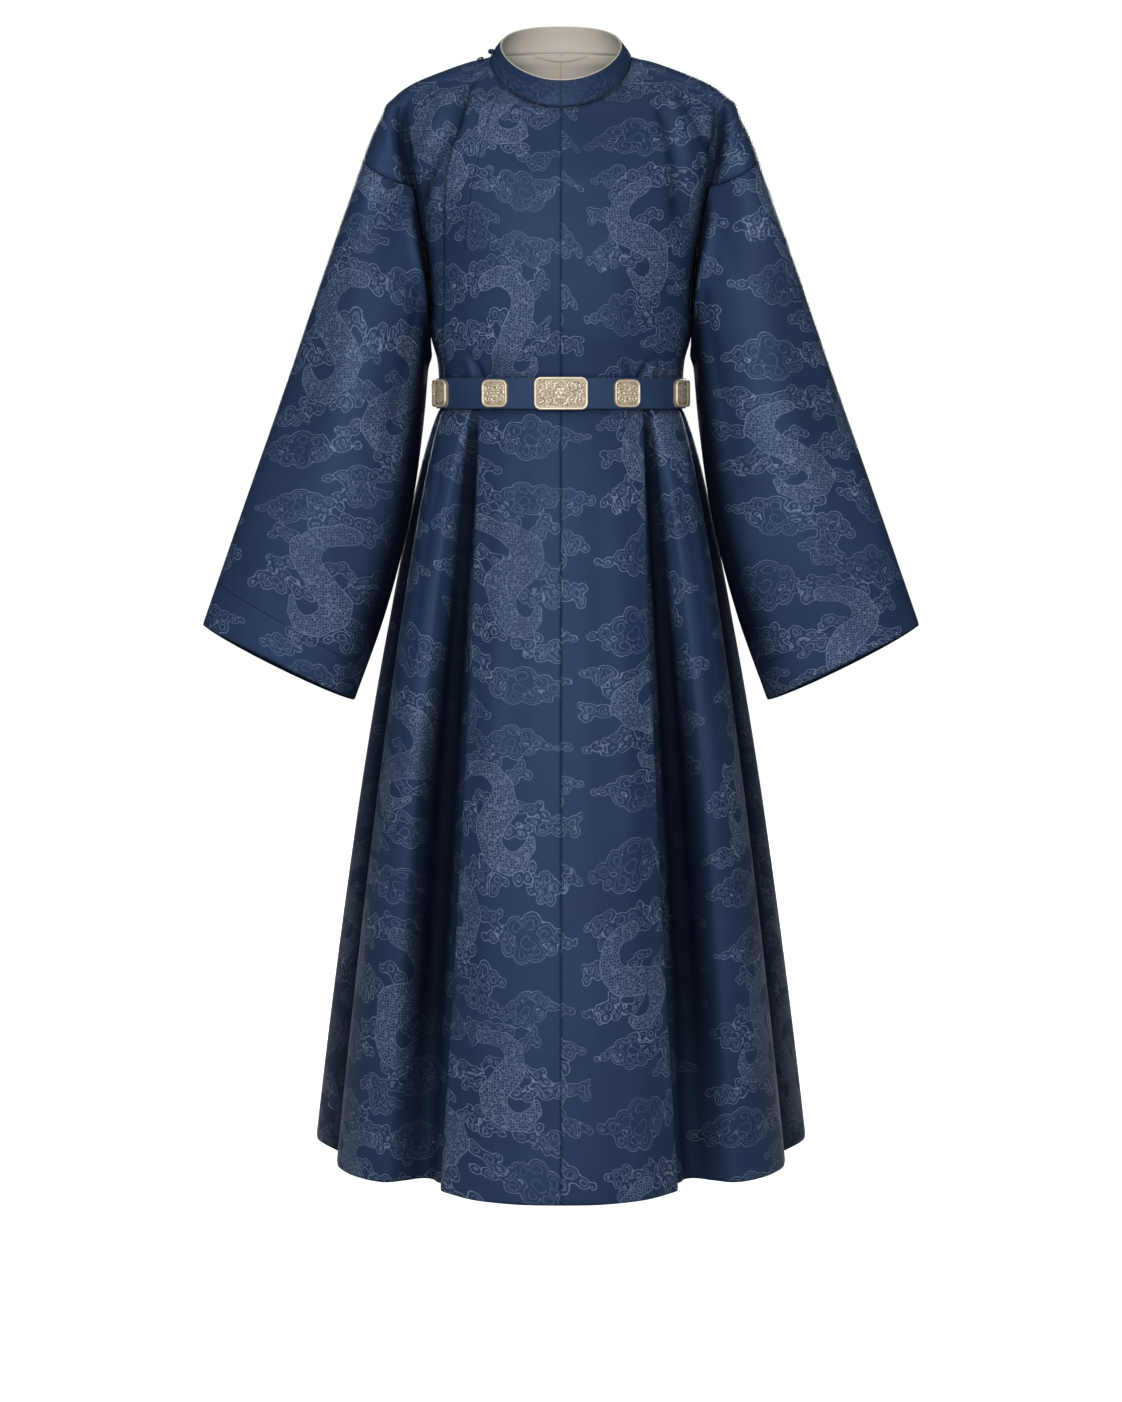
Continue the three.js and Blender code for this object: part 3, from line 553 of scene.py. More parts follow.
def flat_cut(points: Array, origin: tuple[int, int]) -> Array:
    """Places on the flat cloth: lengths along the rows and columns from an origin.

    Args:
        points: a sheet of points.
        origin: row and column that lie at 0, 0.

    Returns:
        Flat places in millimetres.
    """
    across = np.linalg.norm(np.diff(points, axis=1), axis=-1)
    down = np.linalg.norm(np.diff(points, axis=0), axis=-1)
    u = np.concatenate([np.zeros((len(points), 1)), np.cumsum(across, 1)], 1)
    v = np.concatenate([np.zeros((1, points.shape[1])), np.cumsum(down, 0)], 0)
    row, column = origin
    return np.stack([u - u[:, column : column + 1], -(v - v[row : row + 1, :])], -1)


class Outfitter:
    """Makes Blender objects from sheets of points and enters them in the frame."""

    def __init__(self) -> None:
        """Starts with nothing made."""
        self.made: list[bpy.types.Object] = []

    def enter(
        self, obj: bpy.types.Object, nodes: Sequence[str], slot: str, materials: Sequence[bpy.types.Material]
    ) -> bpy.types.Object:
        """Gives a piece its materials and its place in the frame.

        Args:
            obj: the piece.
            nodes: the solids that it stands for.
            slot: the record's material slot; not used.
            materials: its materials, outer one first.

        Returns:
            The piece.
        """
        for material in materials:
            obj.data.materials.append(material)
        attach(obj, "root")
        if nodes:
            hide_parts(*nodes)
        self.made.append(obj)
        log.info("%s made", obj.name)
        return obj

    @staticmethod
    def mesh(name: str, points: Array, faces: Sequence[Sequence[int]]) -> bpy.types.Object:
        """A new smooth-shaded mesh object from millimetre points."""
        data = bpy.data.meshes.new(name)
        data.from_pydata((points * MM).tolist(), [], [list(map(int, f)) for f in faces])
        data.shade_smooth()
        obj = bpy.data.objects.new(name, data)
        bpy.context.scene.collection.objects.link(obj)
        return obj

    @staticmethod
    def layers(
        obj: bpy.types.Object, index: Array, cut: Array, seam: Array | None = None, painted_shade: Array | None = None
    ) -> None:
        """Adds the UV layers that the satin reads.

        Args:
            obj: the piece.
            index: its corners' points in face order.
            cut: flat places in millimetres.
            seam: place along and distance from the nearest seam line, or None for no seam.
            painted_shade: shade painted at each point by how deep in a fold it lies, 0 to 1, or None for nowhere.
        """
        outline, curl, trunk = Damask(Repeat()).fields(cut)
        far = np.full_like(cut, NO_SEAM)
        painted_shade = np.zeros(len(cut)) if painted_shade is None else painted_shade
        kinds = {
            "cut": cut * MM,
            "seams": far if seam is None else seam,
            "clouds": np.stack([outline, curl], -1),
            # the beasts layer's second number is the shade painted into folds
            "beasts": np.stack([trunk, painted_shade], -1),
        }
        for layer_name, values in kinds.items():
            layer = obj.data.uv_layers.new(name=layer_name)
            layer.data.foreach_set("uv", values[index].reshape(-1))

    def cloth(self, name: str, grids: Sequence[Grid], wall: float) -> bpy.types.Object:
        """A cloth piece from one or more sheets that share their edge points.

        Args:
            name: the piece's name.
            grids: its sheets.
            wall: the cloth's thickness in millimetres, laid inward.

        Returns:
            The piece, with its flat cut and its seams as UV layers.
        """
        points, quads, cut, seam, painted_shade, faced = [], [], [], [], [], []
        start = 0
        for grid in grids:
            rows, columns = grid.points.shape[:2]
            index = np.arange(rows * columns).reshape(rows, columns) + start
            quad = np.stack([index[:-1, :-1], index[1:, :-1], index[1:, 1:], index[:-1, 1:]], -1)
            quad = quad if grid.outward > 0 else quad[..., ::-1]
            quads.append(quad[grid.keep])
            facing = np.zeros(grid.keep.shape, bool) if grid.faced is None else grid.faced
            faced.append(facing[grid.keep])
            points.append(grid.points.reshape(-1, 3))
            cut.append(grid.cut.reshape(-1, 2))
            seam.append(grid.seam.reshape(-1, 2))
            painted_shade.append(np.zeros(rows * columns) if grid.painted_shade is None else grid.painted_shade.reshape(-1))
            start += rows * columns
        points, quads = np.concatenate(points), np.concatenate(quads)
        cut, seam, painted_shade = np.concatenate(cut), np.concatenate(seam), np.concatenate(painted_shade)
        used = np.unique(quads)
        renumber = np.zeros(len(points), int)
        renumber[used] = np.arange(len(used))
        quads = renumber[quads]
        obj = self.mesh(name, points[used], quads)
        self.layers(obj, quads.reshape(-1), cut[used], seam[used], painted_shade[used])
        obj.data.polygons.foreach_set("material_index", np.concatenate(faced).astype(np.int32) * 2)
        built = bmesh.new()
        built.from_mesh(obj.data)
        bmesh.ops.remove_doubles(built, verts=built.verts, dist=0.02 * MM)
        built.to_mesh(obj.data)
        built.free()
        shell = obj.modifiers.new("wall", "SOLIDIFY")
        shell.thickness = wall * MM
        shell.offset = -1
        shell.material_offset = 1
        shell.material_offset_rim = 0
        return obj


class Tailor:
    """Cuts the robe's cloth pieces out of its form."""

    wall = 1.3
    cap_samples = 26
    sleeve_samples = 160
    cut_starts = {
        (Face.FRONT, Side.LEFT): (212, 64),
        (Face.FRONT, Side.RIGHT): (-20, -38),
        (Face.BACK, Side.LEFT): (90, 150),
        (Face.BACK, Side.RIGHT): (-150, 20),
    }
    sleeve_starts = {Side.LEFT: (60, 130), Side.RIGHT: (-128, 210)}
    rows = np.concatenate(
        [
            np.linspace(0, NECK_ROWS, 41)[:-1],
            np.linspace(NECK_ROWS, ARMPIT_ROW, 49)[:-1],
            np.linspace(ARMPIT_ROW, BELT_ROW, 23)[:-1],
            np.linspace(BELT_ROW, SKIRT_ROW, 4)[:-1],
            SKIRT_ROW + SKIRT_ROWS * np.linspace(0, 1, 221),
        ]
    )

    def __init__(self, outfitter: Outfitter, folds: "Creases") -> None:
        """Args:
            outfitter: makes the objects.
            folds: the creases to lay on the form.
        """
        self.outfitter = outfitter
        self.folds = folds

    @staticmethod
    def columns(face: Face) -> tuple[Array, Array]:
        """Columns of the samples across a panel, above the belt and below it."""
        if face is Face.FRONT:
            spans = [(0, 3, 45), (3, 5, 10), (5, 9, 20), (9, 12, 15), (12, 15, 24), (15, 18, 18)]
            knots = (LAP_COLUMN,)
        else:
            last = BACK_COLUMNS
            spans = [(0, 2, 10), (2, 6, 22), (6, 10, 15), (10, 14, 14), (14, 16, 6), (16, last, 24)]
            knots = ()
        below = np.concatenate([np.linspace(a, b, n + 1)[:-1] for a, b, n in spans] + [[spans[-1][1]]])
        above = np.linspace(0, spans[-1][1], len(below))
        for knot in knots:
            k = int(np.argmin(np.abs(below - knot)))
            above = np.concatenate(
                [np.linspace(0, knot, k + 1)[:-1], np.linspace(knot, spans[-1][1], len(below) - k)]
            )
        return above, below

    def body(self, face: Face, side: Side) -> tuple[Grid, Array, Array]:
        """One front or back with its shoulder cap.

        Args:
            face: front or back.
            side: the wearer's side.

        Returns:
            The sheet, and the row and column of each of its points; the cap's columns go on beyond
            the panel's.
        """
        above, below = self.columns(face)
        row = self.rows[:, None]
        blend = ease((row - (BELT_ROW - 2)) / 2)
        column = mix(above[None, :], below[None, :], blend)
        row = np.broadcast_to(row, column.shape)
        panel = Form.panel(face, column, row, side)
        share = np.linspace(0, 1, self.cap_samples)[1:][None, :]
        cap_row = np.clip(self.rows, 0, NECK_ROWS)[:, None] + 0 * share
        cap = Form.cap_point(face, share + 0 * cap_row, cap_row)
        if face is Face.FRONT:
            points = np.concatenate([panel, cap], 1)
            column = np.concatenate([column, SIDE_COLUMN + CAP_COLUMNS * share + 0 * cap_row], 1)
            body_first = True
        else:
            points = np.concatenate([cap[:, ::-1], panel], 1)
            column = np.concatenate([-CAP_COLUMNS * share[:, ::-1] + 0 * cap_row, column], 1)
            body_first = False
        row = np.broadcast_to(self.rows[:, None], column.shape)
        keep = np.ones((points.shape[0] - 1, points.shape[1] - 1), bool)
        below_seam = row[:-1, :-1] >= NECK_ROWS - 1e-6
        caps = self.cap_samples - 1
        if body_first:
            keep[:, -caps:] &= ~below_seam[:, -caps:]
        else:
            keep[:, :caps] &= ~below_seam[:, :caps]
        centre = 0 if body_first else points.shape[1] - 1
        cut = flat_cut(points, (int(np.argmin(np.abs(self.rows - BELT_ROW))), centre))
        cut = cut * np.array([side.value, 1]) + np.array(self.cut_starts[face, side])
        points = points * np.array([side.value, 1, 1])
        seam = np.full(points.shape[:2] + (2,), NO_SEAM)
        return Grid(points, cut, seam, keep, outward=float(side.value)), row, column

    def sleeve(self, side: Side) -> tuple[Grid, Array, Array]:
        """A sleeve, with the share of its length and the place around of each point."""
        samples = self.sleeve_samples
        quarter, half = samples // 4, samples // 2
        around = np.linspace(0, 2 * RING_HALF, samples + 1)[None, :]
        t = np.linspace(0, 1, samples + 1)[:, None]
        around, t = np.broadcast_arrays(around, t)
        points = Form.sleeve(around, t)
        step = np.diff(points, axis=1)
        plan = step[..., [0, 2]]
        axis = unit(points[-1, quarter, [0, 2]] - points[0, quarter, [0, 2]])
        along_axis = (plan @ axis)[..., None] * axis
        plan = np.where(np.arange(samples)[None, :, None] < half, plan, 2 * along_axis - plan)
        length = np.linalg.norm(step, axis=-1)[..., None]
        line = unit(points[:, half, [0, 2]] - points[:, 0, [0, 2]])[:, None]
        cut = np.cumsum(unit(plan + 0.25 * length * line) * length, 1)
        cut = np.concatenate([np.zeros((len(points), 1, 2)), cut], 1)
        cut = cut - cut[:, quarter : quarter + 1] + points[:, quarter : quarter + 1, [0, 2]]
        cut = cut * np.array([side.value, 1]) + np.array(self.sleeve_starts[side])
        points = points * np.array([side.value, 1, 1])
        seam = np.full(points.shape[:2] + (2,), NO_SEAM)
        keep = np.ones((points.shape[0] - 1, points.shape[1] - 1), bool)
        return Grid(points, cut, seam, keep, outward=-float(side.value)), t, around


@dataclass
class Creases:
    """Every crease that isn't in the form itself; places in millimetres or in the grid's own rows."""

    right_chest: Sequence[Fold] = field(
        default_factory=lambda: [
            Fold([(105, -38), (120, -88), (139, -118), (157, -165), (159, -192)], (6, 9), 6.0, (18, 40)),
            Fold([(118, -36), (144, -82), (160, -127), (162, -156)], (7, 9), 3.6, (18, 26), Crease.RIDGE),
            Fold([(133, -118), (146, -165), (148, -230)], (7, 9), 2.4, (25, 40), Crease.RIDGE),
            Fold([(184, -50), (179, -94), (172, -145), (160, -214), (153, -306)], (5, 7), 5.0, (16, 20)),
            Fold([(197, -46), (195, -90), (190, -126), (186, -152)], (6, 7), 3.0, (16, 3), Crease.RIDGE),
            Fold([(88, -395), (91, -366), (100, -348), (112, -326)], (2.6, 7), 5.0, (1, 24)),
            Fold([(80, -395), (81, -368), (75, -352), (66, -336)], (2.4, 6), 3.4, (1, 18)),
            Fold([(98, -395), (100, -372), (104, -345), (104, -318)], (3.5, 8), 2.8, (1, 24), Crease.RIDGE),
        ]
    )
    left_chest: Sequence[Fold] = field(
        default_factory=lambda: [
            Fold([(109, -58), (119, -88), (127, -120), (131, -160), (133, -218)], (6, 10), 5.0, (18, 50)),
            Fold([(134, -42), (152, -78), (166, -104), (176, -124)], (5, 8), 4.6, (14, 20)),
            Fold([(121, -44), (139, -92), (150, -140), (152, -190)], (7, 10), 3.4, (20, 50), Crease.RIDGE),
            Fold([(183, -48), (178, -92), (171, -150), (161, -220), (152, -300)], (5, 7), 5.4, (14, 20)),
            Fold([(198, -44), (194, -84), (189, -124), (185, -152)], (6, 7), 3.2, (14, 3), Crease.RIDGE),
            Fold([(87, -395), (90, -368), (101, -350), (114, -330)], (2.6, 7), 5.2, (1, 24)),
            Fold([(79, -395), (80, -366), (73, -350), (63, -338)], (2.4, 6), 3.0, (1, 18)),
            Fold([(99, -395), (102, -370), (105, -345), (104, -322)], (3.5, 7), 2.8, (1, 24), Crease.RIDGE),
        ]
    )
    back: Sequence[Fold] = field(
        default_factory=lambda: [
            Fold([(122, -40), (140, -90), (152, -140), (158, -220)], (9, 13), 4.0, (20, 50)),
            Fold([(96, -60), (116, -130), (130, -220)], (10, 14), 2.2, (30, 60), Crease.RIDGE),
            Fold([(60, -395), (66, -360), (74, -320)], (4, 10), 2.6, (1, 30)),
            Fold([(100, -395), (104, -366), (112, -326)], (4, 9), 2.8, (1, 30)),
        ]
    )
    right_skirt: Sequence[Fold] = field(
        default_factory=lambda: [
            Fold([(10.2, -402), (10.3, -800), (10.4, -1290)], (0.6, 0.8), 8.0, (60, 1)),
            Fold([(1.4, -420), (1.5, -700), (1.3, -1000)], (0.5, 0.6), 1.6, (80, 260)),
            Fold([(2.2, -520), (2.3, -900), (2.2, -1290)], (0.4, 0.45), 1.8, (200, 1), Crease.RIDGE),
            Fold([(14.2, -430), (14.6, -700), (14.9, -1000)], (0.5, 0.8), 2.2, (60, 260)),
            Fold([(13.2, -700), (13.2, -1290)], (0.5, 0.7), 2.0, (220, 1), Crease.RIDGE),
        ]
    )
    left_skirt: Sequence[Fold] = field(
        default_factory=lambda: [
            Fold([(10.3, -402), (10.4, -800), (10.3, -1290)], (0.6, 0.8), 9.0, (70, 1)),
            Fold([(1.2, -430), (1.5, -760), (1.6, -1100)], (0.5, 0.6), 1.5, (90, 280)),
            Fold([(2.3, -480), (2.2, -900), (2.3, -1290)], (0.4, 0.45), 1.7, (200, 1), Crease.RIDGE),
            Fold([(14.0, -430), (14.4, -720), (14.8, -1040)], (0.5, 0.8), 2.2, (60, 260)),
            Fold([(13.3, -760), (13.3, -1290)], (0.5, 0.7), 2.0, (220, 1), Crease.RIDGE),
        ]
    )
    back_skirt: Sequence[Fold] = field(
        default_factory=lambda: [
            Fold([(8.8, -402), (8.7, -800), (8.6, -1290)], (0.6, 0.8), 7.5, (60, 1)),
            Fold([(3.0, -430), (2.8, -760), (2.9, -1290)], (0.5, 0.6), 2.4, (90, 1)),
            Fold([(4.0, -600), (4.1, -1290)], (0.5, 0.6), 2.2, (160, 1), Crease.RIDGE),
            Fold([(17.4, -430), (17.6, -800), (17.5, -1150)], (0.5, 0.6), 1.6, (90, 280)),
            Fold([(1.2, -402), (1.2, -540)], (0.3, 0.3), 1.5, (6, 5), Crease.RIDGE),
        ]
    )
    sleeve: Sequence[Fold] = field(
        default_factory=lambda: [
            Fold([(2.6, 0.05), (2.9, 0.4), (3.1, 0.8)], (0.8, 1.0), 3.0, (0.2, 0.3)),
            Fold([(4.6, 0.1), (4.4, 0.5), (4.6, 0.95)], (0.9, 1.1), 3.0, (0.25, 0.3), Crease.RIDGE),
            Fold([(6.6, 0.02), (6.2, 0.3), (6.4, 0.62)], (0.5, 0.7), 3.0, (0.1, 0.3)),
            Fold([(15.0, 0.1), (14.6, 0.5), (14.4, 0.9)], (0.9, 1.1), 3.2, (0.2, 0.3)),
            Fold([(12.8, 0.1), (12.6, 0.6)], (0.7, 0.9), 2.6, (0.2, 0.3), Crease.RIDGE),
        ]
    )
    facing_line: Sequence[tuple[float, float]] = (
        (71, -48), (77, -65), (83, -82), (89, -104), (94, -125), (98, -143),
        (102, -162), (104, -178), (106, -195), (107.4, -210), (108, -225),
    )


class Wire:
    """A number in a shader; an expression on wires adds its Math nodes."""

    def __init__(self, tree: bpy.types.NodeTree, socket: bpy.types.NodeSocket) -> None:
        """Args:
            tree: the node tree that the number is in.
            socket: the output that gives it.
        """
        self.tree = tree
        self.socket = socket

    def math(self, operation: str, *others: "Wire | float", clamp: bool = False) -> "Wire":
        """One Math node on this and other numbers.

        Args:
            operation: the node's operation.
            others: the further inputs in order.
            clamp: whether the result is kept from 0 to 1.

        Returns:
            The result.
        """
        node = self.tree.nodes.new("ShaderNodeMath")
        node.operation = operation
        node.use_clamp = clamp
        for entry, value in zip(node.inputs, (self, *others)):
            if isinstance(value, Wire):
                self.tree.links.new(value.socket, entry)
            else:
                entry.default_value = value
        return Wire(self.tree, node.outputs[0])

    def __add__(self, other: "Wire | float") -> "Wire":
        """Sum."""
        return self.math("ADD", other)

    def __sub__(self, other: "Wire | float") -> "Wire":
        """Difference."""
        return self.math("SUBTRACT", other)

    def __rsub__(self, other: float) -> "Wire":
        """Difference from a plain number."""
        return (self * -1.0) + other

    def __mul__(self, other: "Wire | float") -> "Wire":
        """Product."""
        return self.math("MULTIPLY", other)

    def __abs__(self) -> "Wire":
        """Size without sign."""
        return self.math("ABSOLUTE")

    def least(self, other: "Wire | float") -> "Wire":
        """The lesser of two."""
        return self.math("MINIMUM", other)

    def most(self, other: "Wire | float") -> "Wire":
        """The greater of two."""
        return self.math("MAXIMUM", other)

    def below(self, edge: float, soft: float) -> "Wire":
        """1 where the number is below an edge and 0 above it, over a soft width."""
        return (((edge + soft) - self) * (0.5 / soft)).math("ADD", 0.0, clamp=True)


class Place:
    """A place in a shader, on the flat cut or in the robe's frame."""

    def __init__(self, tree: bpy.types.NodeTree, socket: bpy.types.NodeSocket) -> None:
        """Args:
            tree: the node tree.
            socket: the output that gives the vector.
        """
        self.tree = tree
        self.socket = socket

    def __mul__(self, factor: float) -> "Place":
        """Scaled by a number."""
        node = self.tree.nodes.new("ShaderNodeVectorMath")
        node.operation = "SCALE"
        self.tree.links.new(self.socket, node.inputs[0])
        node.inputs["Scale"].default_value = factor
        return Place(self.tree, node.outputs["Vector"])

    def split(self) -> tuple[Wire, Wire, Wire]:
        """Its three numbers."""
        node = self.tree.nodes.new("ShaderNodeSeparateXYZ")
        self.tree.links.new(self.socket, node.inputs[0])
        return tuple(Wire(self.tree, node.outputs[k]) for k in range(3))


class Paint:
    """A material and the few ways in which its nodes are made."""

    def __init__(self, name: str) -> None:
        """Args:
            name: the material's name.
        """
        self.material = bpy.data.materials.new(name)
        self.material.use_nodes = True
        self.tree = self.material.node_tree
        self.shader = self.tree.nodes["Principled BSDF"]

    def node(self, kind: str, settings: dict[str, object], **inputs: object) -> bpy.types.Node:
        """Any node.

        Args:
            kind: the node's type.
            settings: its settings, set first; "stops" holds a colour ramp's places and colours.
            inputs: values, wires or places for its sockets, by name with _ for a space.

        Returns:
            The node.
        """
        made = self.tree.nodes.new(kind)
        for key, value in settings.items():
            if key == "stops":
                ramp = made.color_ramp
                for element, (at, color) in zip(ramp.elements, value):
                    element.position, element.color = at, color
                for at, color in value[len(ramp.elements) :]:
                    ramp.elements.new(at).color = color
            else:
                setattr(made, key, value)
        for key, value in inputs.items():
            self.feed(made.inputs[key.replace("_", " ")], value)
        return made

    def feed(self, entry: bpy.types.NodeSocket, value: object) -> None:
        """Links a wire or sets a constant on a socket."""
        if isinstance(value, (Wire, Place)):
            self.tree.links.new(value.socket, entry)
        elif isinstance(value, bpy.types.NodeSocket):
            self.tree.links.new(value, entry)
        else:
            entry.default_value = value

    def constant(self, **values: object) -> None:
        """Sets constants on the shader's own sockets."""
        for key, value in values.items():
            self.shader.inputs[key.replace("_", " ")].default_value = value

    def flat_place(self, layer: str) -> Place:
        """A UV layer's place."""
        node = self.node("ShaderNodeUVMap", {"uv_map": layer})
        return Place(self.tree, node.outputs["UV"])

    def object_place(self) -> Place:
        """The place in the robe's own frame."""
        node = self.node("ShaderNodeTexCoord", {})
        return Place(self.tree, node.outputs["Object"])

    def noise(self, place: Place, scale: float, detail: float = 2.0, roughness: float = 0.5) -> Wire:
        """Soft noise from 0 to 1 at a scale per unit of the place."""
        node = self.node(
            "ShaderNodeTexNoise", {}, Vector=place, Scale=scale, Detail=detail, Roughness=roughness
        )
        return Wire(self.tree, node.outputs["Fac"])

    def tint(self, a: object, b: object, share: object, blend: str = "MIX") -> bpy.types.NodeSocket:
        """A colour between two colours."""
        node = self.node("ShaderNodeMix", {"data_type": "RGBA", "blend_type": blend})
        self.feed(node.inputs["Factor"], share)
        self.feed(node.inputs[6], a)
        self.feed(node.inputs[7], b)
        return node.outputs[2]

    def bump(self, height: Wire, distance: float, strength: float = 1.0) -> None:
        """Feeds the normal with a relief of a height in metres."""
        made = self.node("ShaderNodeBump", {}, Strength=strength, Distance=distance, Height=height)
        self.tree.links.new(made.outputs["Normal"], self.shader.inputs["Normal"])


def rgba(red: float, green: float, blue: float) -> tuple[float, float, float, float]:
    """An opaque colour."""
    return (red, green, blue, 1.0)


Circle = tuple[float, float, float]


@dataclass(frozen=True)
class Repeat:
    """The damask's repeat, own layout: millimetres from the middle of the repeat, circles as x, y, radius."""

    width: float = 240
    height: float = 280
    squash: float = 0.9
    big_cloud: Sequence[Circle] = (
        (2, 0, 17), (5, 16, 13), (-15, 12, 12), (-31, 3, 10.5), (-46, -2, 7.5), (-58, -3, 5), (22, 8, 11),
        (37, 1, 9), (50, -3, 6), (14, -14, 11.5), (-6, -16, 12), (-24, -11, 9), (31, -12, 7),
    )
    small_cloud: Sequence[Circle] = (
        (0, 0, 10), (-13, 3, 9), (2, 9, 9.5), (15, 3, 8.5), (27, -1, 5.5), (6, -8, 8.5), (-9, -7, 7.5), (-25, -1, 6),
    )
    big_places: Sequence[Circle] = ((60, 80, 1.0), (-60, -86, -1.0), (-58, 118, 0.84), (62, -122, -0.86))
    small_places: Sequence[Circle] = (
        (88, 28, -0.95), (-88, 20, 0.95), (8, 128, 0.95), (2, -128, -1.0),
        (18, 30, 0.85), (-8, -34, -0.9), (88, -66, 0.9), (-86, -44, -0.85),
    )
    spine: Sequence[Circle] = (
        (21, 58, 9), (6, 58, 10), (-10, 49, 11.5), (-19, 33, 14), (-15, 14, 16), (1, -2, 17), (16, -18, 16),
        (18, -36, 14), (6, -50, 11.5), (-10, -53, 9), (-23, -44, 6), (-27, -33, 3.5),
    )
    tufts: Sequence[Circle] = (
        (31, 60, 9), (24, 70, 9), (10, 73, 8.5), (-4, 68, 8), (-17, 60, 8), (41, 66, 6), (35, 76, 5), (38, 52, 5.5),
        (-34, 40, 9), (-45, 46, 7.5), (-53, 39, 5.5), (-50, 53, 4.5), (-30, 6, 8.5), (-42, 0, 7.5), (-50, -9, 5.5),
        (-52, 4, 4.5), (32, -6, 9), (44, -1, 7.5), (53, -9, 5.5), (50, 6, 4.5), (35, -42, 9), (46, -50, 7.5),
        (50, -61, 5.5), (56, -48, 4.5), (8, 18, 8.5), (19, 24, 7), (27, 18, 5), (-9, -20, 8), (-20, -25, 6.5),
        (-28, -20, 4.5), (0, -66, 7.5), (-12, -70, 6), (-22, -63, 5),
    )
    beast_places: Sequence[tuple[float, float, float, float]] = ((-36, 30, 1.0, 0.22), (48, -42, -1.0, -0.4))


class Damask:
    """Clouds and long-bodied beasts with curling tufts; one generic repeat, every second column turned."""

    far = 99.0
    clear = 2.6
    reach = 12
    wander: Sequence[tuple[float, float, float, float]] = (
        (0.019, 0.008, 0.4, 8.0),
        (-0.011, 0.017, 2.1, 7.0),
        (0.047, -0.039, 4.4, 2.2),
        (0.036, 0.062, 1.3, 2.0),
        (0.15, 0.11, 3.2, 0.55),
        (-0.13, 0.19, 5.1, 0.5),
    )

    def __init__(self, repeat: Repeat) -> None:
        """Args:
            repeat: its layout.
        """
        self.repeat = repeat

    def in_repeat(self, cut: Array) -> Array:
        """Millimetres from the middle of the repeat, with a hand-drawn wander.

        Args:
            cut: flat places in millimetres, last axis across and up.
        """
        repeat = self.repeat
        u, v = cut[..., 0], cut[..., 1]
        du = sum(a * np.sin(ku * u + kv * v + phase) for ku, kv, phase, a in self.wander)
        dv = sum(a * np.sin(ku * v - kv * u + 1.7 * phase + 1) for ku, kv, phase, a in self.wander)
        u, v = u + du, v + dv
        column = np.floor(u / repeat.width)
        odd = column % 2
        v = v + odd * repeat.height * 0.5
        row = np.floor(v / repeat.height)
        x = (u - (column + 0.5) * repeat.width) * (1 - 2 * odd)
        return np.stack([x, v - (row + 0.5) * repeat.height], -1)

    @staticmethod
    def lobes(x: Array, y: Array, circles: Sequence[Circle]) -> tuple[Array, Array]:
        """A scalloped shape made of round lobes.

        Args:
            x: places across.
            y: places up.
            circles: the lobes.

        Returns:
            Distance to the outline, and to a curl inside the nearest lobe.
        """
        outline, curl = np.full(x.shape, Damask.far), np.full(x.shape, Damask.far)
        for k, (cx, cy, radius) in enumerate(circles):
            dx, dy = x - cx, y - cy
            away = np.hypot(dx, dy)
            turn = (np.arctan2(dy, dx) / (2 * math.pi) + 0.37 * k) % 1.0
            nearer = away - radius < outline
            curl = np.where(nearer, away - (0.2 + 0.42 * turn) * radius, curl)
            outline = np.where(nearer, away - radius, outline)
        return outline, curl

    def trunk(self, x: Array, y: Array) -> Array:
        """Distance to a beast's winding body."""
        nearest = np.full(x.shape, self.far)
        for (x1, y1, r1), (x2, y2, r2) in zip(self.repeat.spine[:-1], self.repeat.spine[1:]):
            ax, ay = x2 - x1, y2 - y1
            share = np.clip(((x - x1) * ax + (y - y1) * ay) / (ax * ax + ay * ay), 0, 1)
            away = np.hypot(x - x1 - share * ax, y - y1 - share * ay)
            nearest = np.minimum(nearest, away - (r1 + (r2 - r1) * share))
        return nearest

    def fields(self, cut: Array) -> tuple[Array, Array, Array]:
        """Distances in millimetres to the figures' lines.

        Args:
            cut: flat places in millimetres.

        Returns:
            Distances to the lobes' outline, to the curls in them, and to the scaled bodies' outline.
        """
        repeat = self.repeat
        place = self.in_repeat(cut)
        outline = np.full(place.shape[:-1], self.far)
        curl, trunk, tuft, tuft_curl = outline.copy(), outline.copy(), outline.copy(), outline.copy()
        for circles, places in ((repeat.big_cloud, repeat.big_places), (repeat.small_cloud, repeat.small_places)):
            for cx, cy, size in places:
                for turn in (-repeat.height, 0, repeat.height):
                    if abs(cy + turn) > repeat.height / 2 + 40:
                        continue
                    x, y = (place[..., 0] - cx) / size, (place[..., 1] - cy - turn) / abs(size)
                    rim, inner = self.lobes(x, y / repeat.squash, circles)
                    curl = np.where(rim * abs(size) < outline, inner * abs(size), curl)
                    outline = np.minimum(outline, rim * abs(size))
        for cx, cy, hand, tilt in repeat.beast_places:
            for turn in (-repeat.height, 0, repeat.height):
                if abs(cy + turn) > repeat.height / 2 + 80:
                    continue
                dx, dy = (place[..., 0] - cx) * hand, place[..., 1] - cy - turn
                x, y = dx * math.cos(tilt) - dy * math.sin(tilt), dx * math.sin(tilt) + dy * math.cos(tilt)
                trunk = np.minimum(trunk, self.trunk(x, y))
                rim, inner = self.lobes(x, y, repeat.tufts)
                tuft_curl = np.where(rim < tuft, inner, tuft_curl)
                tuft = np.minimum(tuft, rim)
        figure = np.minimum(trunk, tuft)
        curl = np.where(figure < self.clear, self.far, curl)
        outline = np.maximum(outline, self.clear - figure)
        curl = np.where(tuft < outline, tuft_curl, curl)
        outline = np.maximum(np.minimum(outline, tuft), -trunk)
        return tuple(np.clip(away, -self.reach, self.reach) for away in (outline, curl, trunk))


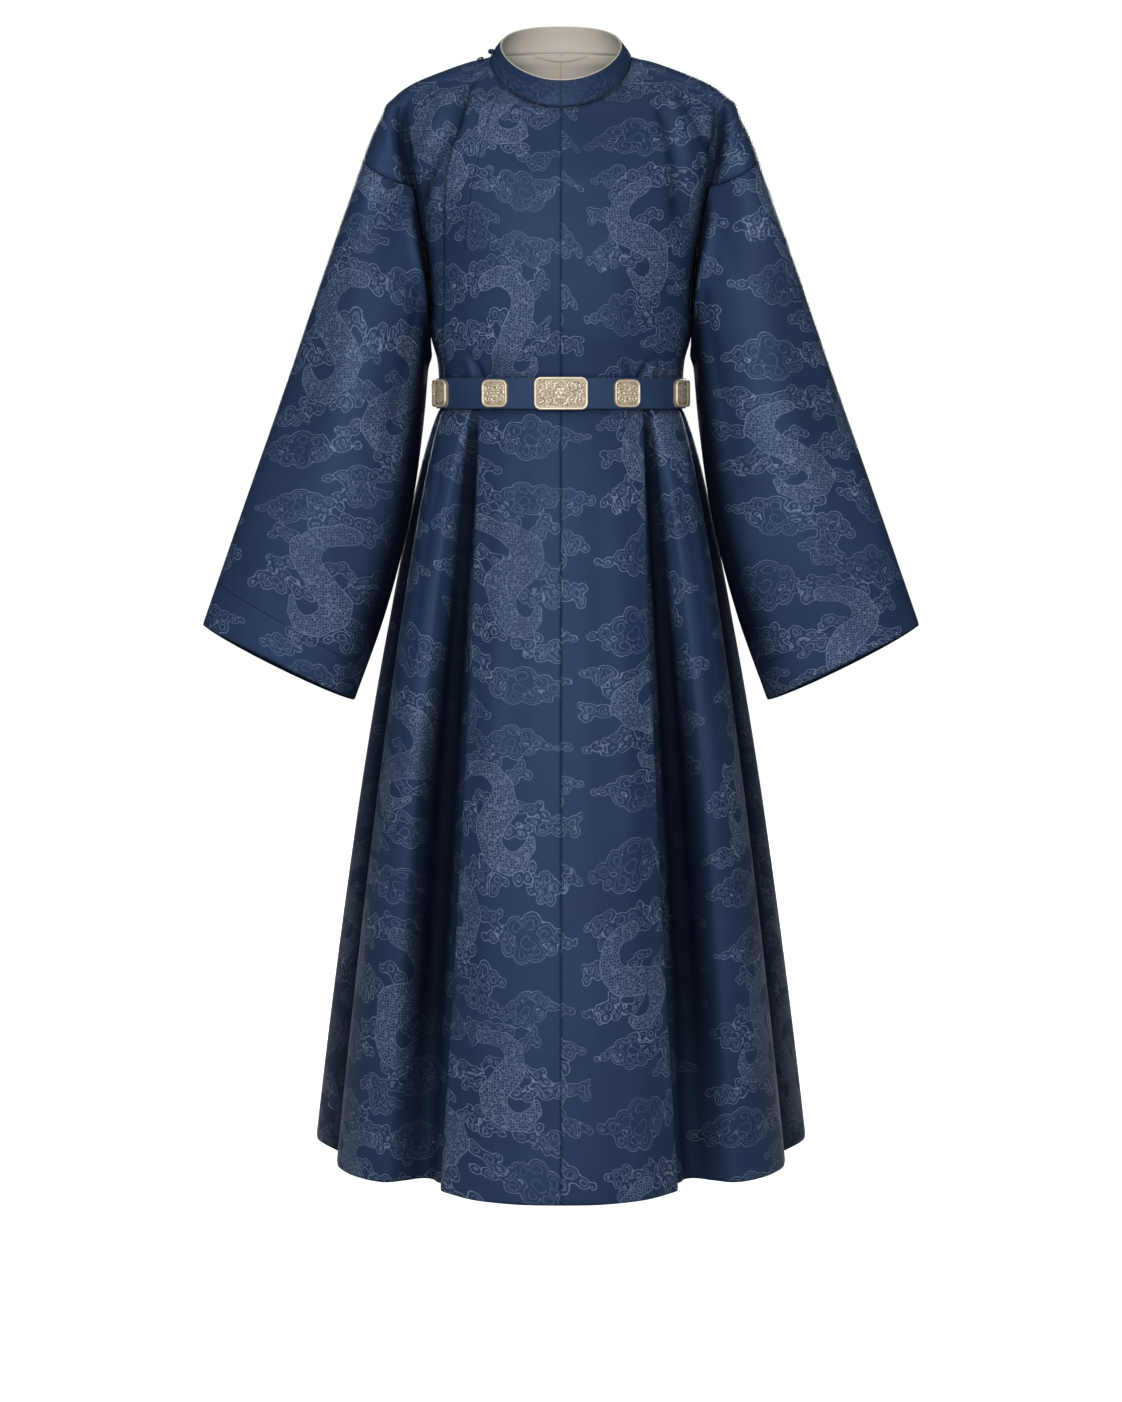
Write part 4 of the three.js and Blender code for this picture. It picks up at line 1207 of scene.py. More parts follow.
@dataclass(frozen=True)
class Satin:
    """Navy silk satin with fine pale damask outlines, and shade painted into its folds."""

    ground: tuple[float, float, float] = (0.0185, 0.036, 0.083)
    deep: tuple[float, float, float] = (0.0145, 0.029, 0.068)
    # colour of the shade painted into folds
    painted_shade: tuple[float, float, float] = (0.0008, 0.0018, 0.0055)
    thread: tuple[float, float, float] = (0.2, 0.26, 0.37)
    rough: float = 0.47
    line: float = 0.27
    soft: float = 0.33

    def figures(self, paint: Paint, cut: Place) -> tuple[Wire, Wire]:
        """The damask's lines, and what they enclose, from the distances kept on the mesh."""
        outline, curl, _ = paint.flat_place("clouds").split()
        trunk, _, _ = paint.flat_place("beasts").split()
        place = cut * 1000.0
        line, soft = self.line, self.soft
        wobble = paint.noise(place, 1 / 7.0, 1.0) - 0.5
        outline = outline + wobble * 2.4
        net = paint.node(
            "ShaderNodeTexVoronoi", {"feature": "DISTANCE_TO_EDGE"}, Vector=place, Scale=1 / 3.2, Randomness=0.6
        )
        scales = Wire(paint.tree, net.outputs["Distance"]).below(0.07, 0.08) * trunk.below(-0.4, 0.4) * 0.8
        lines = abs(outline).below(line, soft).most(abs(outline + 3.0).below(line * 0.7, soft) * 0.65)
        inner = abs(curl + wobble * 3.0).below(line * 0.7, soft) * outline.below(-1.5, 0.6)
        lines = lines.most(inner * 0.8).most(abs(trunk + wobble).below(line, soft) * 0.9).most(scales * 0.85)
        return lines, outline.least(trunk).below(0.0, 0.6)

    def make(self, name: str, figured: bool = True) -> bpy.types.Material:
        """The finish as a material.

        Args:
            name: its name.
            figured: whether it has the damask's outlines.

        Returns:
            The material.
        """
        paint = Paint(name)
        cut = paint.flat_place("cut")
        cloud = paint.noise(cut, 9.0, 3.0)
        slub = paint.noise(cut, 420.0, 2.0)
        ground = paint.tint(rgba(*self.deep), rgba(*self.ground), (cloud - 0.32) * 2.6 + (slub - 0.5) * 0.5)
        rough = (slub - 0.5) * 0.12 + (cloud - 0.5) * 0.1 + self.rough
        weave = paint.node(
            "ShaderNodeTexWave",
            {"wave_type": "BANDS", "bands_direction": "DIAGONAL"},
            Vector=cut,
            Scale=260.0,
            Distortion=0.6,
            Detail=1.0,
        )
        relief = Wire(paint.tree, weave.outputs["Fac"]) * 0.25 + slub * 0.35
        if figured:
            lines, inside = self.figures(paint, cut)
            fade = (paint.noise(cut, 10.0, 1.0) * 2.4).math("ADD", -0.4, clamp=True)
            strong = lines * (fade * 0.65 + 0.35)
            ground = paint.tint(ground, rgba(*self.thread), strong * 0.85)
            rough = rough - inside * 0.05 - lines * 0.06
            relief = relief + strong * 0.5
        seam = paint.flat_place("seams")
        _, off, _ = seam.split()
        line = abs(off).below(0.5, 0.35)
        dent = abs(off).below(1.0, 0.9)
        ground = paint.tint(ground, rgba(0.003, 0.006, 0.018), line * 0.8)
        # Painted shade: the satin darkens and roughens deep in folds, by the mesh's layer.
        _, painted_shade, _ = paint.flat_place("beasts").split()
        ground = paint.tint(ground, rgba(*self.painted_shade), painted_shade)
        rough = rough + painted_shade * 0.35
        relief = relief - dent * 0.9
        paint.feed(paint.shader.inputs["Base Color"], ground)
        paint.feed(paint.shader.inputs["Roughness"], rough)
        paint.constant(Specular_IOR_Level=0.17, Specular_Tint=rgba(0.42, 0.6, 1.0))
        paint.bump(relief, 0.25 * MM)
        return paint.material


@dataclass(frozen=True)
class Lining:
    """Cream plain-weave silk, matt."""

    light: tuple[float, float, float] = (0.5, 0.465, 0.41)
    shade: tuple[float, float, float] = (0.4, 0.365, 0.315)

    def make(self, name: str) -> bpy.types.Material:
        """The finish as a material."""
        paint = Paint(name)
        place = paint.object_place()
        cloud = paint.noise(place, 14.0, 3.0)
        thread = paint.noise(place, 900.0, 2.0)
        color = paint.tint(rgba(*self.shade), rgba(*self.light), cloud * 0.8 + thread * 0.3)
        paint.feed(paint.shader.inputs["Base Color"], color)
        paint.feed(paint.shader.inputs["Roughness"], (thread - 0.5) * 0.15 + 0.72)
        paint.constant(Sheen_Weight=0.15)
        paint.bump(thread, 0.12 * MM)
        return paint.material


@dataclass(frozen=True)
class Strap:
    """Smooth navy cloth over a stiff belt."""

    color: tuple[float, float, float] = (0.0178, 0.0357, 0.083)

    def make(self, name: str) -> bpy.types.Material:
        """The finish as a material."""
        paint = Paint(name)
        place = paint.object_place()
        cloud = paint.noise(place, 26.0, 3.0)
        grain = paint.noise(place, 1300.0, 2.0)
        color = paint.tint(rgba(*[c * 0.8 for c in self.color]), rgba(*[c * 1.25 for c in self.color]), cloud)
        paint.feed(paint.shader.inputs["Base Color"], color)
        paint.feed(paint.shader.inputs["Roughness"], (grain - 0.5) * 0.2 + 0.55)
        paint.constant(Specular_IOR_Level=0.25, Specular_Tint=rgba(0.45, 0.62, 1.0))
        paint.bump(grain, 0.1 * MM)
        return paint.material


@dataclass(frozen=True)
class Gilt:
    """Pale gilt metal with shade painted in: darker in the carving's recesses and at the plate's edge and foot."""

    bright: tuple[float, float, float] = (0.66, 0.57, 0.42)
    dark: tuple[float, float, float] = (0.2, 0.16, 0.105)

    def make(self, name: str) -> bpy.types.Material:
        """The finish as a material."""
        paint = Paint(name)
        place = paint.object_place()
        # The relief layer's first number is the plate's painted shade and light.
        relief, carved, _ = paint.flat_place("relief").split()
        patina = paint.noise(place, 260.0, 3.0)
        grain = paint.noise(place, 2600.0, 2.0)
        vine = abs(paint.noise(place, 430.0, 1.0) - 0.5).below(0.035, 0.03) * carved
        high = (relief * 1.15 - vine * 0.85 + (patina - 0.5) * 0.3).math("ADD", -0.02, clamp=True)
        color = paint.tint(rgba(*self.dark), rgba(*self.bright), high)
        paint.feed(paint.shader.inputs["Base Color"], color)
        paint.feed(paint.shader.inputs["Roughness"], 0.62 - high * 0.28 + (patina - 0.5) * 0.15)
        paint.constant(Metallic=0.4)
        paint.bump(grain * 0.2 - vine, 0.25 * MM)
        return paint.material


class SeamLine:
    """A sewn line on a sheet, given by places on it; fills the sheet's seam layer beside it."""

    @staticmethod
    def mark(grid: Grid, line: Array) -> None:
        """Marks a line.

        Args:
            grid: the sheet.
            line: points of the line in millimetres, in order.
        """
        lengths = np.concatenate([[0], np.cumsum(np.linalg.norm(np.diff(line, axis=0), axis=1))])
        flat = grid.points.reshape(-1, 3)
        near = np.full(len(flat), NO_SEAM)
        along = np.zeros(len(flat))
        normal = grid.normals().reshape(-1, 3)
        for a, b, start in zip(line[:-1], line[1:], lengths):
            direction = b - a
            share = np.clip(((flat - a) @ direction) / (direction @ direction), 0, 1)
            off = flat - (a + share[:, None] * direction)
            size = np.linalg.norm(off, axis=1)
            side = np.sign(np.einsum("ij,ij->i", np.cross(np.broadcast_to(direction, off.shape), off), normal))
            better = size < np.abs(near)
            near = np.where(better, np.where(side == 0, 1, side) * size, near)
            along = np.where(better, start + share * np.linalg.norm(direction), along)
        shape = grid.points.shape[:2]
        near, along = near.reshape(shape), along.reshape(shape)
        closer = np.abs(near) < np.abs(grid.seam[..., 1])
        grid.seam = np.where(closer[..., None], np.stack([along, near], -1), grid.seam)


class RobeBody:
    """Fronts and backs with their shoulder caps."""

    hem_facing = 38.0
    slit_end_z = -537.0
    slit_columns = (0.8, 1.6)
    # Columns where the painted shade of a pleat's valley starts, is full from, and ends at the belt
    valley_start, valley_floor, valley_end = 4.3, 9.4, 12.3
    mirror_column = 19.0  # sum of a back column and the front column that it repeats
    # Heights where the valleys' painted shade widens and fades, and where the arm folds' painted shade begins
    widening_z, fading_z, arm_fold_z = -500.0, -1050.0, -40.0

    def __init__(self, tailor: Tailor, satin: bpy.types.Material, lining: bpy.types.Material) -> None:
        """Args:
            tailor: cuts the pieces.
            satin: the outer finish.
            lining: the inner finish.
        """
        self.tailor = tailor
        # A darkened copy of the satin for the facings' inner side: painted shade where the cuffs and hem show their
        # inside.
        inside = Satin(ground=(0.003, 0.0065, 0.017), deep=(0.002, 0.0045, 0.012)).make("satin_inside_painted_shade", figured=False)
        self.finish = [satin, lining, satin, inside]

    def sew(self, node: str, grid: Grid, flat: tuple[float, float], area: float) -> None:
        """Makes one piece.

        Args:
            node: the solid that it stands for.
            grid: its sheet.
            flat: the cut's width and length in metres; not used.
            area: the cut's area in square metres; not used.
        """
        outfitter = self.tailor.outfitter
        piece = outfitter.cloth(f"{node}_cloth", [grid], self.tailor.wall)
        outfitter.enter(piece, [node], "satin", self.finish)

    @staticmethod
    def roll_edges(grid: Grid, column: Array, row: Array, face: Face) -> None:
        """Turns the cloth in a little at the centre seam, the sleeve seam and the hem."""
        centre = np.abs(grid.points[..., 0])
        height = -0.9 * np.exp(-((centre / 1.6) ** 2))
        hem = (HEM_ROW - row) * SKIRT_ROW_LENGTH
        height = height - 0.7 * np.exp(-((hem / 2.5) ** 2))
        outside = column > SIDE_COLUMN if face is Face.FRONT else column < 0
        seam = np.where(outside, (NECK_ROWS - row) * NECK_ROW_LENGTH, NO_SEAM)
        grid.lift(height - 0.05 * np.exp(-((seam / 1.5) ** 2)))

    def paint_fold_shade(self, grid: Grid, column: Array, row: Array, face: Face) -> None:
        """Paints shade into the pleats' valleys, along the back's side edge and side panel, into the arm folds and
        onto the cloth at the belt's edges and under the collar.
        """
        across, z = np.abs(grid.points[..., 0]), grid.points[..., 2]
        front = face is Face.FRONT
        pleat = column if front else self.mirror_column - column
        below = ease((S.belt_bottom_z + 4 - z) / 90)
        lower = ease((self.widening_z - z) / 350)
        outer = ease((self.valley_end + 1.5 * lower - pleat) / (1.7 + 0.4 * lower))
        valley = outer * ease((pleat - self.valley_start) / 0.7)
        valley = valley * (0.45 + 0.55 * ease((pleat - self.valley_floor) / 1.0))
        valley = valley * (0.75 + 0.25 * below) * (1 - 0.35 * ease((self.fading_z - z) / 220))
        edge = 0.85 * np.exp(-(((column - 0.7) / 0.9) ** 2)) * below + 0.12 * (column < 5)
        skirt = (row > BELT_ROW + 0.5) * np.maximum(valley, 0.0 if front else edge)
        reach = 4 + 6 * ease((self.arm_fold_z - z) / 150)
        fold = np.exp(-(((across - TORSO.read("fold", z) - 1) / reach) ** 2))
        fold = fold * ease((self.arm_fold_z - z) / 50) * (row < BELT_ROW)
        belt = 0.7 * np.exp(-(((z - S.belt_bottom_z) / 5) ** 2)) + 0.5 * np.exp(-(((z - S.belt_top_z) / 4) ** 2))
        collar = 0.6 * np.exp(-((row * NECK_ROW_LENGTH / 5) ** 2))
        grid.paint_shade(np.maximum.reduce([skirt, fold, belt * (column > -0.01), collar]))

    def finish_seams(self, grid: Grid, column: Array, row: Array, face: Face) -> None:
        """The sleeve seam's line, the side opening's two lines with its tack, and the hem's facing."""
        # the hem's facing takes the darkened satin on its inner side, painted shade
        grid.faced = (HEM_ROW - row[:-1, :-1]) * SKIRT_ROW_LENGTH <= self.hem_facing + 1
        level = int(np.argmin(np.abs(row[:, 0] - NECK_ROWS)))
        caps = self.tailor.cap_samples
        edge = grid.points[level]
        SeamLine.mark(grid, edge[-caps:] if face is Face.FRONT else edge[:caps])
        if face is Face.FRONT:
            return
        z = grid.points[:, -1, 2]
        first, last = (int(np.argmin(np.abs(z - level_z))) for level_z in (S.belt_bottom_z - 4, self.slit_end_z))
        ends = []
        for place in self.slit_columns:
            j = int(np.argmin(np.abs(column[last] - place)))
            SeamLine.mark(grid, grid.points[first:last, j])
            ends.append(grid.points[last, j])
        SeamLine.mark(grid, np.array(ends))

    def fronts(self) -> None:
        """The left front, and the right front in its overlapping and its under part."""
        creases = self.tailor.folds
        for side in Side:
            grid, row, column = self.tailor.body(Face.FRONT, side)
            across, along = np.abs(grid.points[..., 0]), grid.points[..., 2]
            chest = creases.left_chest if side is Side.LEFT else creases.right_chest
            on_body = ease((BELT_ROW + 0.6 - row) / 0.6)
            skirt = creases.left_skirt if side is Side.LEFT else creases.right_skirt
            lift = laid(chest, across, along) * on_body + laid(skirt, column, along)
            grid.lift(lift)
            self.roll_edges(grid, column, row, Face.FRONT)
            self.paint_fold_shade(grid, column, row, Face.FRONT)
            self.finish_seams(grid, column, row, Face.FRONT)
            # painted shade in the chest's troughs
            grid.paint_shade(0.5 * np.clip(-lift / 6, 0, 1) * (row < BELT_ROW))
            if side is Side.LEFT:
                self.sew("front_left", grid, (0.52, 1.34), 0.5)
                continue
            upper = row[:-1, :-1] < BELT_ROW - 1e-6
            sink = S.lap_sink * np.clip(LAP_COLUMN + 1 - column, 0, 1)
            under = Grid(grid.points - grid.normals() * sink[..., None], grid.cut, grid.seam.copy(), grid.keep)
            under.outward, under.painted_shade, under.faced = grid.outward, grid.painted_shade, grid.faced
            # painted shade under the overlap's edge
            lap = np.exp(-((np.clip(column - LAP_COLUMN, 0, 9) / 0.22) ** 2)) * (row < BELT_ROW)
            under.paint_shade(0.8 * lap)
            under.keep = grid.keep & (column[:-1, :-1] >= LAP_COLUMN - 1 - 1e-6) & upper
            grid.keep = grid.keep & ((column[:-1, :-1] < LAP_COLUMN - 1e-6) | ~upper)
            edge = np.exp(-(((column - LAP_COLUMN) * LAP_COLUMN_WIDTH / 1.5) ** 2)) * (row < BELT_ROW)
            grid.lift(-0.5 * edge)
            self.mark_facing(grid)
            self.sew("front_overlap", grid, (0.5, 1.34), 0.47)
            self.sew("front_under", under, (0.16, 0.4), 0.04)

    def mark_facing(self, grid: Grid) -> None:
        """The stitch line of the overlap's facing, from the collar down."""
        places = np.array(self.tailor.folds.facing_line, float)
        plan = Grid(grid.points * [1, 0, 1], grid.cut, grid.seam, grid.keep, grid.outward)
        SeamLine.mark(plan, np.stack([-places[:, 0], 0 * places[:, 0], places[:, 1]], -1))
        grid.seam = plan.seam

    def backs(self) -> None:
        """The two backs."""
        creases = self.tailor.folds
        for side in Side:
            grid, row, column = self.tailor.body(Face.BACK, side)
            across, along = np.abs(grid.points[..., 0]), grid.points[..., 2]
            on_body = ease((BELT_ROW + 0.6 - row) / 0.6)
            lift = laid(creases.back, across, along) * on_body
            grid.lift(lift + laid(creases.back_skirt, column, along))
            self.roll_edges(grid, column, row, Face.BACK)
            self.paint_fold_shade(grid, column, row, Face.BACK)
            self.finish_seams(grid, column, row, Face.BACK)
            self.sew(f"back_{side.word}", grid, (0.55, 1.42), 0.6)


class Sleeves:
    """The two hanging sleeves."""

    cuff_line = 0.905
    back_drop = 13.5
    front_rise = 4.0
    length = 560

    def __init__(self, body: RobeBody) -> None:
        """Args:
            body: the robe's body, whose finishes and sewing the sleeves share.
        """
        self.body = body

    def build(self) -> None:
        """Makes both sleeves with their folds and the stitch line of the cuff's facing."""
        for side in Side:
            grid, t, around = self.body.tailor.sleeve(side)
            edge = np.minimum(around, 2 * RING_HALF - around)
            fall = self.back_drop * np.sin(np.clip((around - RING_HALF) / RING_HALF, 0, 1) * math.pi)
            fall = fall - self.front_rise * np.sin(np.clip(around / RING_HALF, 0, 1) * math.pi)
            down = unit(np.gradient(grid.points, axis=0))
            grid.points = grid.points + down * (fall * ease((t - 0.88) / 0.12))[..., None]
            folds = laid(self.body.tailor.folds.sleeve, around, t)
            run = t * self.length
            beside = np.exp(-(((run - 30) / 13) ** 2)) * ease((edge - 4) / 1.6)
            tuck = 2.2 * np.exp(-((run / 4) ** 2)) * ease((edge - 3.8) / 0.8)
            grid.points = grid.points - down * tuck[..., None]
            grid.lift(folds + 3.2 * beside - 0.05 * np.exp(-((run / 1.5) ** 2)))
            grid.lift(-0.5 * np.exp(-(((1 - t) * self.length / 2.2) ** 2)))
            row = int(np.argmin(np.abs(t[:, 0] - self.cuff_line)))
            SeamLine.mark(grid, grid.points[row])
            # the cuff's facing takes the darkened satin on its inner side, painted shade
            grid.faced = t[:-1, :-1] >= self.cuff_line
            # painted shade beside the armhole, along the inner edge and in the sleeve's troughs
            near = ease((30 - run) / 20) * ease((edge - 3.6) / 1.2)
            inner = ease((edge - 6.0) / 1.7) * ease(t / 0.05) * (1 - 0.4 * ease((t - 0.78) / 0.2))
            grid.paint_shade(np.maximum.reduce([near, inner, 0.45 * np.clip(-folds / 4, 0, 1)]))
            self.body.sew(f"sleeve_{side.word}", grid, (0.48, 0.6), 0.25)


def ring_strip(section: Array, sweep: Callable[[Array, Array, Array], Array], angles: Array) -> Array:
    """Points of a section swept round, shape (angles, section, 3).

    Args:
        section: (up, sink) places of a closed section.
        sweep: gives points by angle, up and sink.
        angles: the angles of the rings.
    """
    turn = angles[:, None] + 0 * section[None, :, 0]
    return sweep(turn, section[None, :, 0] + 0 * turn, section[None, :, 1] + 0 * turn)


def strip_faces(rings: int, around: int, closed: bool) -> list[tuple[int, ...]]:
    """Faces of a swept section, with end caps unless it closes on itself."""
    faces = []
    for i in range(rings if closed else rings - 1):
        for j in range(around):
            a, b = i * around, ((i + 1) % rings) * around
            faces.append((a + j, b + j, b + (j + 1) % around, a + (j + 1) % around))
    if not closed:
        faces.append(tuple(range(around)))
        faces.append(tuple((rings - 1) * around + j for j in reversed(range(around))))
    return faces


@dataclass
class Collar:
    """The standing round collar with its lining, the neck lining, the tab, the knot and its loop."""

    outfitter: Outfitter
    satin: bpy.types.Material
    lining: bpy.types.Material
    rim_up: float = 1.015
    rim_sink: float = 1.35
    rim_radius: float = 1.15
    tab_width: float = 64
    tab_height: float = 7
    tab_end: float = 1
    tab_top: float = 1.2
    tab_wall: float = 0.8
    knot_radius: float = 3.9
    knot_degrees: float = 86
    knot_up: float = 0.42
    knot_stand: float = -0.1
    loop_radius: float = 3.2
    loop_centre: tuple[float, float, float] = (-92.6, -5.4, -3.2)
    loop_facing: tuple[float, float, float] = (-0.35, -0.45, 0.85)
    button_cord: float = 0.98
    loop_strand: float = 0.46
    loop_twist: float = 0.42
    cut_scale: tuple[float, float] = (76, 40)
    cut_start: tuple[float, float] = (400, 300)

    def band(self, name: str, section: Array, angles: Array, closed: bool) -> bpy.types.Object:
        """One swept band with its flat cut."""
        points = ring_strip(section, Form.collar, angles)
        rings, around = points.shape[:2]
        faces = strip_faces(rings, around, closed)
        obj = Outfitter.mesh(name, points.reshape(-1, 3), faces)
        radius, height = self.cut_scale
        turn, up = angles[:, None], section[None, :, 0]
        cut = np.stack([turn * radius + 0 * up, height * up + 0 * turn], -1)
        corners = np.array([v for f in faces for v in f])
        Outfitter.layers(obj, corners, cut.reshape(-1, 2) + np.array(self.cut_start))
        return obj

    @staticmethod
    def section(low: float, high: float, outer: float, wall: float, soft: float) -> Array:
        """A closed section: outer face up, round over the rim, inner face down."""
        ups = np.linspace(low, high - soft, 9)
        turn = np.linspace(0, math.pi, 7)[1:-1]
        over = np.stack([high - soft + soft * np.sin(turn), outer + wall * (1 - np.cos(turn)) / 2], -1)
        return np.concatenate(
            [
                np.stack([ups, np.full(9, outer)], -1),
                over,
                np.stack([ups[::-1], np.full(9, outer + wall)], -1),
            ]
        )

    def build(self) -> None:
        """Makes every piece of the collar."""
        trim = S.seam_gap / 2 / S.neck_front
        section = self.section(0.0, 1.0, 0.0, S.collar_wall, 0.035)
        for side in Side:
            angles = np.linspace(trim, math.pi - trim, 97) * side.value
            angles = angles if side is Side.LEFT else angles[::-1]
            node = f"collar_{side.word}"
            obj = self.band(f"{node}_band", section, angles, False)
            self.outfitter.enter(obj, [node], "satin", [self.satin])
        start = S.collar_wall + S.lining_gap
        turn = np.linspace(-0.32 * math.pi, 1.2 * math.pi, 13)
        roll = [self.rim_up, self.rim_sink] + self.rim_radius * np.stack([np.sin(turn) / 31, -np.cos(turn)], -1)
        inside = np.stack([np.linspace(0, 0.96, 9), np.full(9, start + S.lining_wall)], -1)[::-1]
        outside = np.stack([np.linspace(0, 0.9, 5), np.full(5, start)], -1)
        rim = np.concatenate([outside, roll, inside])
        angles = np.linspace(0, 2 * math.pi, 193)[:-1]
        obj = self.band("collar_lining_band", rim, angles, True)
        self.outfitter.enter(obj, ["collar_lining"], "lining", [self.lining])
        self.neck_lining()
        self.knot()

    def back_neck(self, x: Array, drop: Array, sink: Array) -> Array:
        """Points inside the back neck by place across and drop below the neckline."""

        def at(across: Array, down: Array) -> Array:
            angle = np.arcsin(np.abs(across) / S.neck_half)
            column = BACK_COLUMNS * (1 - angle / S.fold_angle)
            row = NECK_ROWS * (down / (S.neck_back_z - S.seam_level_z))
            p = Form.panel(Face.BACK, column, row, Side.RIGHT)
            return p * np.stack([np.where(across < 0, -1.0, 1.0), 1 + 0 * across, 1 + 0 * across], -1)

        p = at(x, drop)
        normal = unit(np.cross(at(x, drop + 1) - p, at(x + 1, drop) - p))
        return p + normal * sink[..., None]

    def neck_lining(self) -> None:
        """The lining of the back neck and the half-moon tab sewn on it."""
        sheets = []
        for side in Side:
            row = (np.linspace(0.06, 3.0, 30))[:, None]
            column = np.linspace(0, BACK_COLUMNS, 61)[None, :]
            row, column = np.broadcast_arrays(row, column)
            points = Form.panel(Face.BACK, column, row, Side.RIGHT) * np.array([side.value, 1, 1])
            seam, keep = np.full(points.shape[:2] + (2,), NO_SEAM), np.ones((29, 60), bool)
            grid = Grid(points, flat_cut(points, (0, 60)), seam, keep, float(side.value))
            dip = 0.4 * np.exp(-((points[..., 0] / 1.5) ** 2))
            grid.lift(np.full(row.shape, -(S.cloth_wall + S.lining_gap)) - dip)
            sheets.append(grid)
        piece = self.outfitter.cloth("neck_lining_cloth", sheets, S.lining_wall)
        self.outfitter.enter(piece, ["neck_lining"], "lining", [self.lining, self.lining])
        share = np.linspace(0, 1, 41)[None, :]
        up = np.linspace(0, 1, 9)[:, None]
        up, share = np.broadcast_arrays(up, share)
        drop = self.tab_top + (1 - up) * mix(self.tab_end, self.tab_height, np.sin(math.pi * share))
        sink = S.cloth_wall + 2 * S.lining_gap + S.lining_wall
        edge = np.minimum(np.minimum(up, 1 - up) * 7, np.minimum(share, 1 - share) * 60)
        proud = self.tab_wall * (0.4 + 0.6 * ease(edge / 0.9))
        points = self.back_neck(self.tab_width * (share - 0.5), drop, sink + proud)
        seam, keep = np.full(points.shape[:2] + (2,), NO_SEAM), np.ones((8, 40), bool)
        grid = Grid(points, flat_cut(points, (0, 20)), seam, keep, 1.0)
        middle = grid.normals()[4, 20]
        grid.outward = 1.0 if middle[1] < 0 else -1.0
        tab = self.outfitter.cloth("neck_tab_cloth", [grid], self.tab_wall * 0.5)
        self.outfitter.enter(tab, ["neck_tab"], "lining", [self.lining, self.lining])

    def tube(self, name: str, paths: Sequence[Array], radius: float, node: str) -> None:
        """Closed round cords along closed paths, joined as one piece."""
        points, faces = [], []
        for path in paths:
            ahead = unit(np.roll(path, -1, 0) - np.roll(path, 1, 0))
            side = unit(np.cross(ahead, np.array([0.31, 0.52, 0.79])))
            lift = np.cross(ahead, side)
            turn = np.linspace(0, 2 * math.pi, 9)[:-1]
            ring = path[:, None] + radius * (
                np.cos(turn)[None, :, None] * side[:, None] + np.sin(turn)[None, :, None] * lift[:, None]
            )
            start = sum(len(p) for p in points)
            faces += [tuple(start + v for v in f) for f in strip_faces(len(path), 8, True)]
            points.append(ring.reshape(-1, 3))
        obj = Outfitter.mesh(name, np.concatenate(points), faces)
        Outfitter.layers(obj, np.array([v for f in faces for v in f]), np.concatenate(points)[:, [0, 2]])
        self.outfitter.enter(obj, [node], "satin", [self.plain_satin])

    def knot(self) -> None:
        """The knot button, wound from cord, and the twisted loop that holds it."""
        self.plain_satin = Satin().make("satin_cord", figured=False)
        angle = np.array([-math.radians(self.knot_degrees)])
        centre = Form.collar(angle, np.array([self.knot_up]), np.array([-self.knot_radius - self.knot_stand]))[0]
        t = np.linspace(0, 2 * math.pi, 217)[:-1]
        across, around = 4, 3
        wide = 1.75 + 1.15 * np.cos(across * t)
        wound = np.stack([wide * np.cos(around * t), wide * np.sin(around * t), 1.9 * np.sin(across * t)], -1)
        core = np.stack([0.9 * np.cos(t), 0.9 * np.sin(t), 0 * t], -1)
        self.tube("neck_button_knot", [centre + wound, centre + core], self.button_cord, "neck_button")
        facing = Vector(self.loop_facing).normalized()
        turn = facing.to_track_quat("Z", "Y")
        strands = []
        for phase in (0.0, math.pi):
            twist = 14 * t + phase
            radius = self.loop_radius + self.loop_twist * np.cos(twist)
            flat = np.stack([radius * np.cos(t), radius * np.sin(t), self.loop_twist * np.sin(twist)], -1)
            spun = np.array([turn @ Vector(p) for p in flat])
            strands.append(spun + np.array(self.loop_centre))
        self.tube("button_loop_cord", strands, self.loop_strand, "button_loop")


@dataclass(frozen=True)
class PlaqueForm:
    """A plaque's place and size in millimetres."""

    node: str
    degrees: float
    width: float
    height: float


